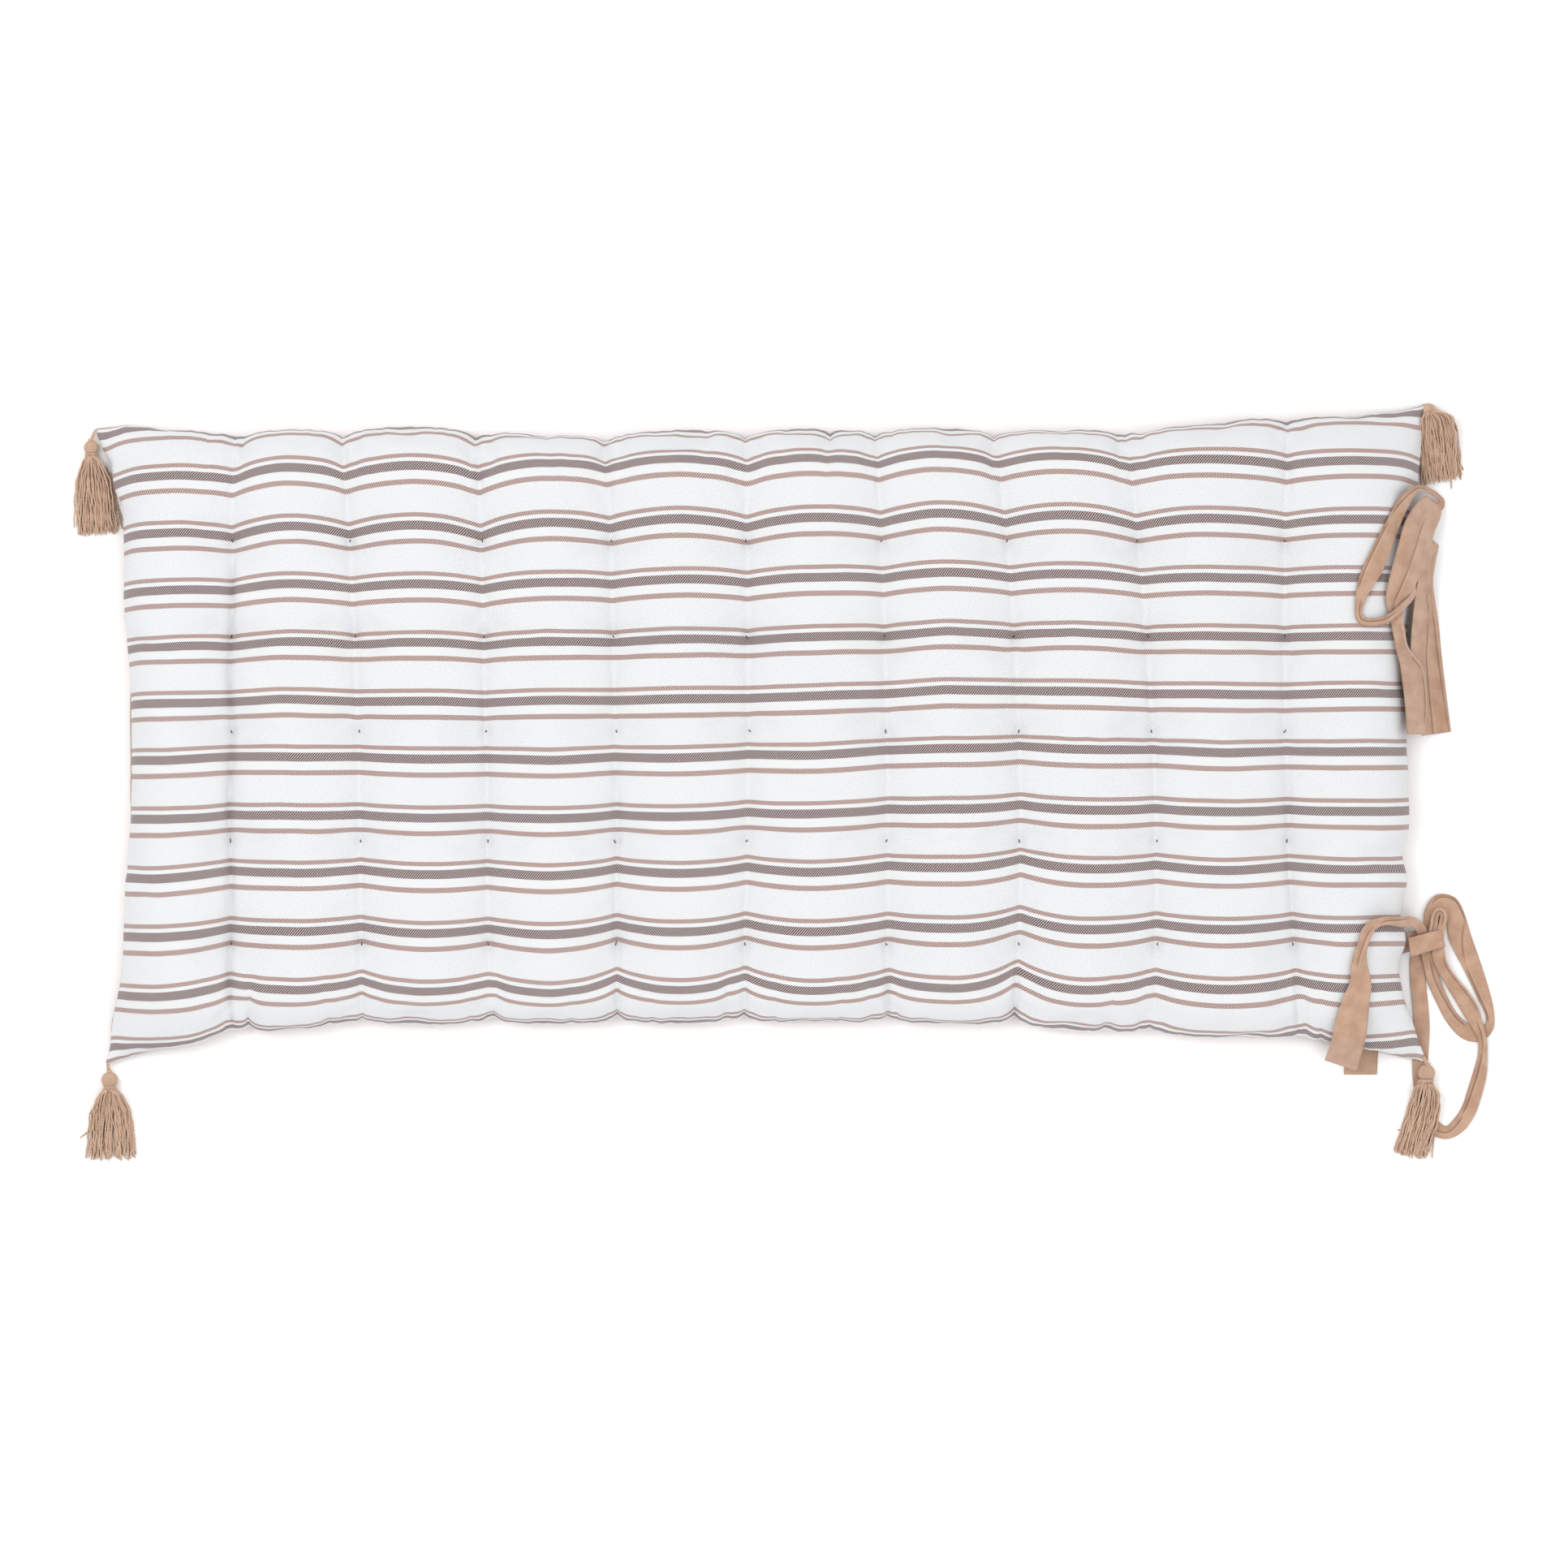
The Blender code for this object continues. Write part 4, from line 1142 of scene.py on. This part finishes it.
# Painted shade in the creases, along the edges and over the layer turned under.
tone = mix(tree, groove * 0.7, tone, paint(122, 84, 62))
# A painted highlight along the raised side of each crease.
tone = mix(tree, crease_highlight * 0.45, tone, paint(220, 190, 165))
put(tone, shader.inputs["Base Color"])
warp = wave(tree, uv, 420.0, 1.5)
crumple = noise(tree, uv, 45.0, 3.0)
put_bump(shader, 0.5, 0.0004, warp * 0.15 + hair + crumple * 6)
lay_tie("tie_back_looped", TIE_BACK_LOOPED, -1, [
    (5.0, 8.0, 0.3, -0.75, 0.8, 0.7), (8.0, 11.2, -0.75, -0.7, 0.9, 0.9),
    (11.4, 15.6, 0.1, 0.1, 0.5, -0.5), (20.6, 22.9, -0.6, -0.3, 1.1, -0.9),
    (22.7, 25.4, -0.33, 0.25, 1.1, -1.0), (21.2, 25.2, -0.6, -0.92, 1.0, -0.8),
], tie_look)
lay_tie("tie_back_folded", TIE_BACK_FOLDED, 1, [
    (4.6, 7.0, -0.1, -0.05, 0.5, -0.3), (6.6, 10.4, -0.1, 0.15, 1.2, -0.9),
    (10.4, 14.4, -0.3, -0.8, 1.0, -1.0), (14.2, 16.8, -0.8, -0.86, 0.5, -0.6),
], tie_look)
lay_tie("tie_front_bow", TIE_FRONT_BOW, 1, [
    (3.4, 6.6, 0.6, 0.9, 0.5, -0.4), (6.3, 7.9, 0.95, -0.68, 1.2, 1.1),
    (7.7, 10.8, -0.66, -0.55, 1.1, 1.1), (13.0, 17.0, -0.6, 0.0, 1.1, 0.9),
    (20.4, 22.4, -0.5, 0.4, 0.5, 0.4), (22.6, 25.4, 0.6, -0.3, 0.8, 0.5),
], tie_look)
lay_tie("tie_front_wrap", TIE_FRONT_WRAP, -1, [
    (9.6, 12.6, 0.3, -0.4, 0.6, 0.5), (12.4, 16.4, -0.55, -0.2, 1.2, 1.1),
    (16.2, 18.4, -0.2, 0.3, 0.8, 0.8), (18.6, 22.8, 0.75, 0.6, 0.4, 0.4),
    (24.4, 29.5, -0.1, 0.1, 0.6, 0.5),
], tie_look)

# Tassels
# A tassel of twisted two-ply cotton yarn is sewn to each corner. Its yarns are bent over
# its cord into a round head, bound at the neck, and lie fanned out on the floor.
YARN = 0.76
YARN_PITCH = 6.5
YARN_STEP = 1.1
YARN_SIDES = 8
HEAD_YARNS = 32
SKIRT_YARNS = 62
NECK = 5.2
BINDING = 0.95
BINDING_PITCH = 3.0
BINDING_RISE = 0.8
CORD = 1.0
CORD_PITCH = 4.0
CORD_HALF_GAP = 0.9
CORD_HEIGHT = 9.0
KNOT_ROUND = 1.7
THREAD_SHIFT = 37.0
# Shares of a skirt's length from the neck, where its widths, heights and sways are given.
SKIRT_MARKS = (0.0, 0.14, 0.33, 0.66, 1.0)
BELL_FALL = 0.35
FOLDED_FALL = 0.8
CROWN_ROUND = 6.3


def two_ply(paths, radius, pitch=YARN_PITCH):
    """Points, faces and thread coordinates of twisted two-ply yarns, in millimetres."""
    points, faces, places = [], [], []
    base = 0
    turn = np.arange(YARN_SIDES) * 2 * np.pi / YARN_SIDES
    for number, path in enumerate(paths):
        path = np.asarray(path, float)
        marks = np.append(0, np.cumsum(np.linalg.norm(np.diff(path, axis=0), axis=1)))
        at = np.linspace(0, marks[-1], max(3, int(marks[-1] / YARN_STEP)))
        path = np.stack([curve(np.stack([marks, c], -1), at) for c in path.T], -1)
        run = np.gradient(path, axis=0)
        run /= np.linalg.norm(run, axis=1)[:, None] + 1e-9
        first = np.cross(run, (0.31, 0.17, 0.93))
        first /= np.linalg.norm(first, axis=1)[:, None]
        second = np.cross(run, first)
        twist = at[:, None] / pitch * 2 * np.pi + number
        thick = radius * (0.66 + 0.34 * np.abs(np.cos(turn - twist)))
        thick[-1] *= 0.7
        ring = path[:, None] + thick[..., None] * (
            np.cos(turn)[:, None] * first[:, None] + np.sin(turn)[:, None] * second[:, None])
        ring[..., 2] = np.maximum(ring[..., 2], 0.1)
        points.append(ring.reshape(-1, 3))
        places.append(np.stack([np.broadcast_to(at[:, None] + number * THREAD_SHIFT, thick.shape),
                                np.broadcast_to(turn, thick.shape)], -1).reshape(-1, 2))
        k = np.arange(YARN_SIDES)
        a = base + np.arange(len(at) - 1)[:, None] * YARN_SIDES + k
        b = base + np.arange(len(at) - 1)[:, None] * YARN_SIDES + (k + 1) % YARN_SIDES
        faces += np.stack([a, b, b + YARN_SIDES, a + YARN_SIDES], -1).reshape(-1, 4).tolist()
        faces.append((base + k[::-1]).tolist())
        faces.append((base + (len(at) - 1) * YARN_SIDES + k).tolist())
        base += len(at) * YARN_SIDES
    return np.concatenate(points), faces, np.concatenate(places)


def lay_tassel(name, start, head, end, radius, widths, seed, sways=(0, 0, 0, 0),
               wound=(3, 5.4, 0.0), strays=(), folded=False):
    """A tassel lying on the floor, from its cord at the pad's tip to the ends of its yarns.

    widths are the skirt's half widths at the bell, a third, two thirds and the ends, and
    sways how far it lies to its left there. wound is its binding: turns, radius and slant.
    strays are the ways of yarns that lie apart. A folded one lies head up against the pad,
    with its skirt fanned out from its crown.
    """
    rng = np.random.default_rng(seed)
    head, end = np.array(head), np.array(end)
    long = np.linalg.norm(end - head)
    way = (end - head) / long
    side = np.array([way[1], -way[0]])
    neck_at = 0.0 if folded else radius * 0.9
    base = 6.0 if folded else radius - NECK
    widths = (NECK, *widths)
    sways = (0.0, *sways)
    bunches = rng.uniform(-0.9, 0.9, 7)
    heights = (2 * NECK - 2 * YARN, 2 * NECK - YARN, 6.5, 5.0, 3.6)
    paths = []

    def place(along, across, height):
        p = head + way * along + side * across
        return (p[0], p[1], height)

    def skirt(across, layer, drift, reach):
        shares = np.concatenate([[0.03, 0.09], np.linspace(0.16, 1.0, 14)])
        phase, bend = rng.uniform(0, 2 * np.pi), rng.uniform(0.3, 1.5)
        curl = rng.uniform(0.15, 0.55)
        nearest = bunches[np.abs(bunches - across).argmin()]
        made = []
        for share in shares:
            half = np.interp(share, SKIRT_MARKS, widths)
            high = np.interp(share, SKIRT_MARKS, heights)
            lift = base * (1 - ease(share / (FOLDED_FALL if folded else BELL_FALL)))
            sway = bend * math.sin(phase + share * 7.0) * share
            sway += curl * math.sin(phase * 3 + share * 25.0) * ease(share * 4)
            now = across + (nearest - across) * 0.4 * ease((share - 0.35) / 0.6)
            now = np.clip(now + drift * share, -1.05, 1.05)
            if share < 0.05:
                ring = math.sqrt(max(0.0, 1 - (2 * layer - 1) ** 2))
                offset = now * NECK * max(0.45, ring)
            else:
                offset = now * half + sway
            offset += np.interp(share, SKIRT_MARKS, sways)
            level = YARN + lift + layer * high + 0.4 * math.sin(phase + share * 19.0)
            made.append(place(neck_at + (long - neck_at) * share * reach, offset, level))
        return made

    for k in range(HEAD_YARNS):
        angle = 2 * np.pi * (k + 0.5) / HEAD_YARNS
        over = angle < np.pi
        across = 1 - 2 * angle / np.pi if over else -1 + 2 * (angle - np.pi) / np.pi
        layer = 0.85 + 0.15 * rng.random() if over else 0.15 * rng.random()
        if folded:
            across = 2 * (k + 0.5) / HEAD_YARNS - 1
            round_x = CROWN_ROUND * math.sin(across * 1.5)
            round_y = CROWN_ROUND * math.cos(across * 1.5)
            made = [
                place(2.0, round_x * 0.6, 2.0),
                place(-round_y, round_x, 4.5),
                place(-round_y * 0.86, round_x * 0.92, 10.0),
                place(-round_y * 0.35, round_x * 0.72, 14.5),
            ]
            layer = 0.75 + 0.25 * rng.random()
        else:
            made = []
            ball = radius - YARN * 0.9
            for latitude in np.radians([12, 35, 60, 90, 120, 142]):
                spread = ball * math.sin(latitude)
                level = radius + spread * math.sin(angle)
                made.append(place(-ball * math.cos(latitude), spread * math.cos(angle), level))
        made += skirt(across, layer, rng.normal(0, 0.1), rng.uniform(0.95, 1.02))[1:]
        paths.append(made)
    for k in range(SKIRT_YARNS):
        across = (k % 20 + rng.random()) / 10 - 1
        layer = (k // 20 + rng.random()) / 2
        paths.append(skirt(across, layer, rng.normal(0, 0.22), rng.uniform(0.9, 1.04)))
    paths += [np.array(stray) for stray in strays]
    parts = [two_ply(paths, YARN)]
    if not folded:
        rounds, ring, slant = wound
        coil = []
        for t in np.linspace(0, rounds * 2 * np.pi, 14 * rounds):
            along = neck_at - 1.0 + BINDING_RISE * t / np.pi + slant * math.cos(t)
            coil.append(place(along, ring * math.cos(t), radius + ring * math.sin(t) * 0.98))
        parts.append(two_ply([coil], BINDING, pitch=BINDING_PITCH))
        top_x, top_y, top_z = place(-radius + 1.0, 0.0, radius)
        x, y = start
        cords = []
        for shift in (-CORD_HALF_GAP, CORD_HALF_GAP):
            middle = ((x + top_x) / 2 + shift, (y + top_y) / 2, (CORD_HEIGHT + radius) / 2 + 0.5)
            last = (top_x + shift * 0.5, top_y, top_z)
            cords.append([(x + shift * 0.4, y, CORD_HEIGHT), middle, last])
        knot = []
        for t in np.linspace(0, 4 * np.pi, 24):
            level = radius + 0.4 + KNOT_ROUND * math.sin(t)
            knot.append(place(-radius - 1.0 + 0.12 * t, KNOT_ROUND * math.cos(t), level))
        cords.append(knot)
        parts.append(two_ply(cords, CORD, pitch=CORD_PITCH))
    count, all_faces = 0, []
    for points, faces, _ in parts:
        all_faces += [[v + count for v in face] for face in faces]
        count += len(points)
    mesh = build_mesh(name + "_yarns", np.concatenate([part[0] for part in parts]) * MM, all_faces)
    add_map(mesh, "cloth", np.concatenate([part[2] for part in parts]) * (MM, 1 / (2 * np.pi)))
    tassel = add_object(name + "_yarns", mesh, yarn_look)
    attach(tassel, "root")
    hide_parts(name)


yarn_look, shader, tree = new_material("camel_yarn", 0.9, 0.2)
uv = on_map(tree)
along, around = split(uv, 0) * 1000, split(uv, 1)
ply = ((along / YARN_PITCH * 2 + around * -2) * (2 * math.pi)).sine()
place = node(tree, "ShaderNodeTexCoord", {}, output="Object")
cloud = noise(tree, place, 120.0, 2.0)
yarn_number = (along / THREAD_SHIFT).floor()
strand = noise(tree, node(tree, "ShaderNodeCombineXYZ", {}, yarn_number * 3.7, 0.0, 0.0), 1.0)
tone = mix(tree, cloud, paint(214, 174, 146), paint(246, 212, 184))
tone = mix(tree, strand * 0.6, tone, paint(226, 190, 162))
# Painted shade in the grooves between the two plies.
tone = mix(tree, ply.step(-1.0, 0.2) * -0.3 + 0.3, tone, paint(158, 118, 94))
put(tone, shader.inputs["Base Color"])
put_bump(shader, 0.4, 0.0003, ply)
lay_tassel("tassel_back_left", (-637.3, 326.6), (-641.6, 309.8), (-638.3, 231.0), 6.8,
           (9.5, 15.0, 18.0, 20.0), 3,
           strays=[[(-628, 293, 3), (-622, 270, 1.2), (-617, 250, 1.0), (-613.5, 235, 1.0)],
                   [(-625, 288, 3), (-619, 262, 1.2), (-614, 245, 1.0), (-612, 236, 1.0)]])
lay_tassel("tassel_front_left", (-626.2, -261.1), (-624.5, -275.7), (-623.3, -348.5), 7.7,
           (12.0, 17.5, 20.5, 22.5), 5,
           strays=[[(-636, -314, 4), (-641, -322, 2), (-647, -325, 1.0), (-652.5, -329.5, 1.0)]])
lay_tassel("tassel_front_right", (592.1, -253.7), (595.0, -269.3), (583.5, -346.5), 8.0,
           (12.0, 14.0, 15.6, 17.0), 8,
           sways=(-2.4, -2.9, -1.5, 1.0), wound=(2, 7.0, 1.6),
           strays=[[(584, -310, 3), (578, -314, 1.5), (574, -313.5, 1.0)],
                   [(580, -322, 3), (574, -322.5, 1.2), (568.5, -322, 1.0)]])
lay_tassel("tassel_back_right", (598.9, 342.6), (597.0, 344.0), (609.5, 279.5), 7.0,
           (14.5, 17.5, 18.0, 17.5), 11,
           sways=(-4.5, -4.0, -2.4, 0.0), folded=True,
           strays=[[(615, 318, 5), (622, 306, 2), (626.5, 296, 1.0), (630, 289.5, 1.0)],
                   [(614, 310, 4), (617, 292, 1.5), (618.5, 280, 1.0), (618.7, 272, 1.0)]])
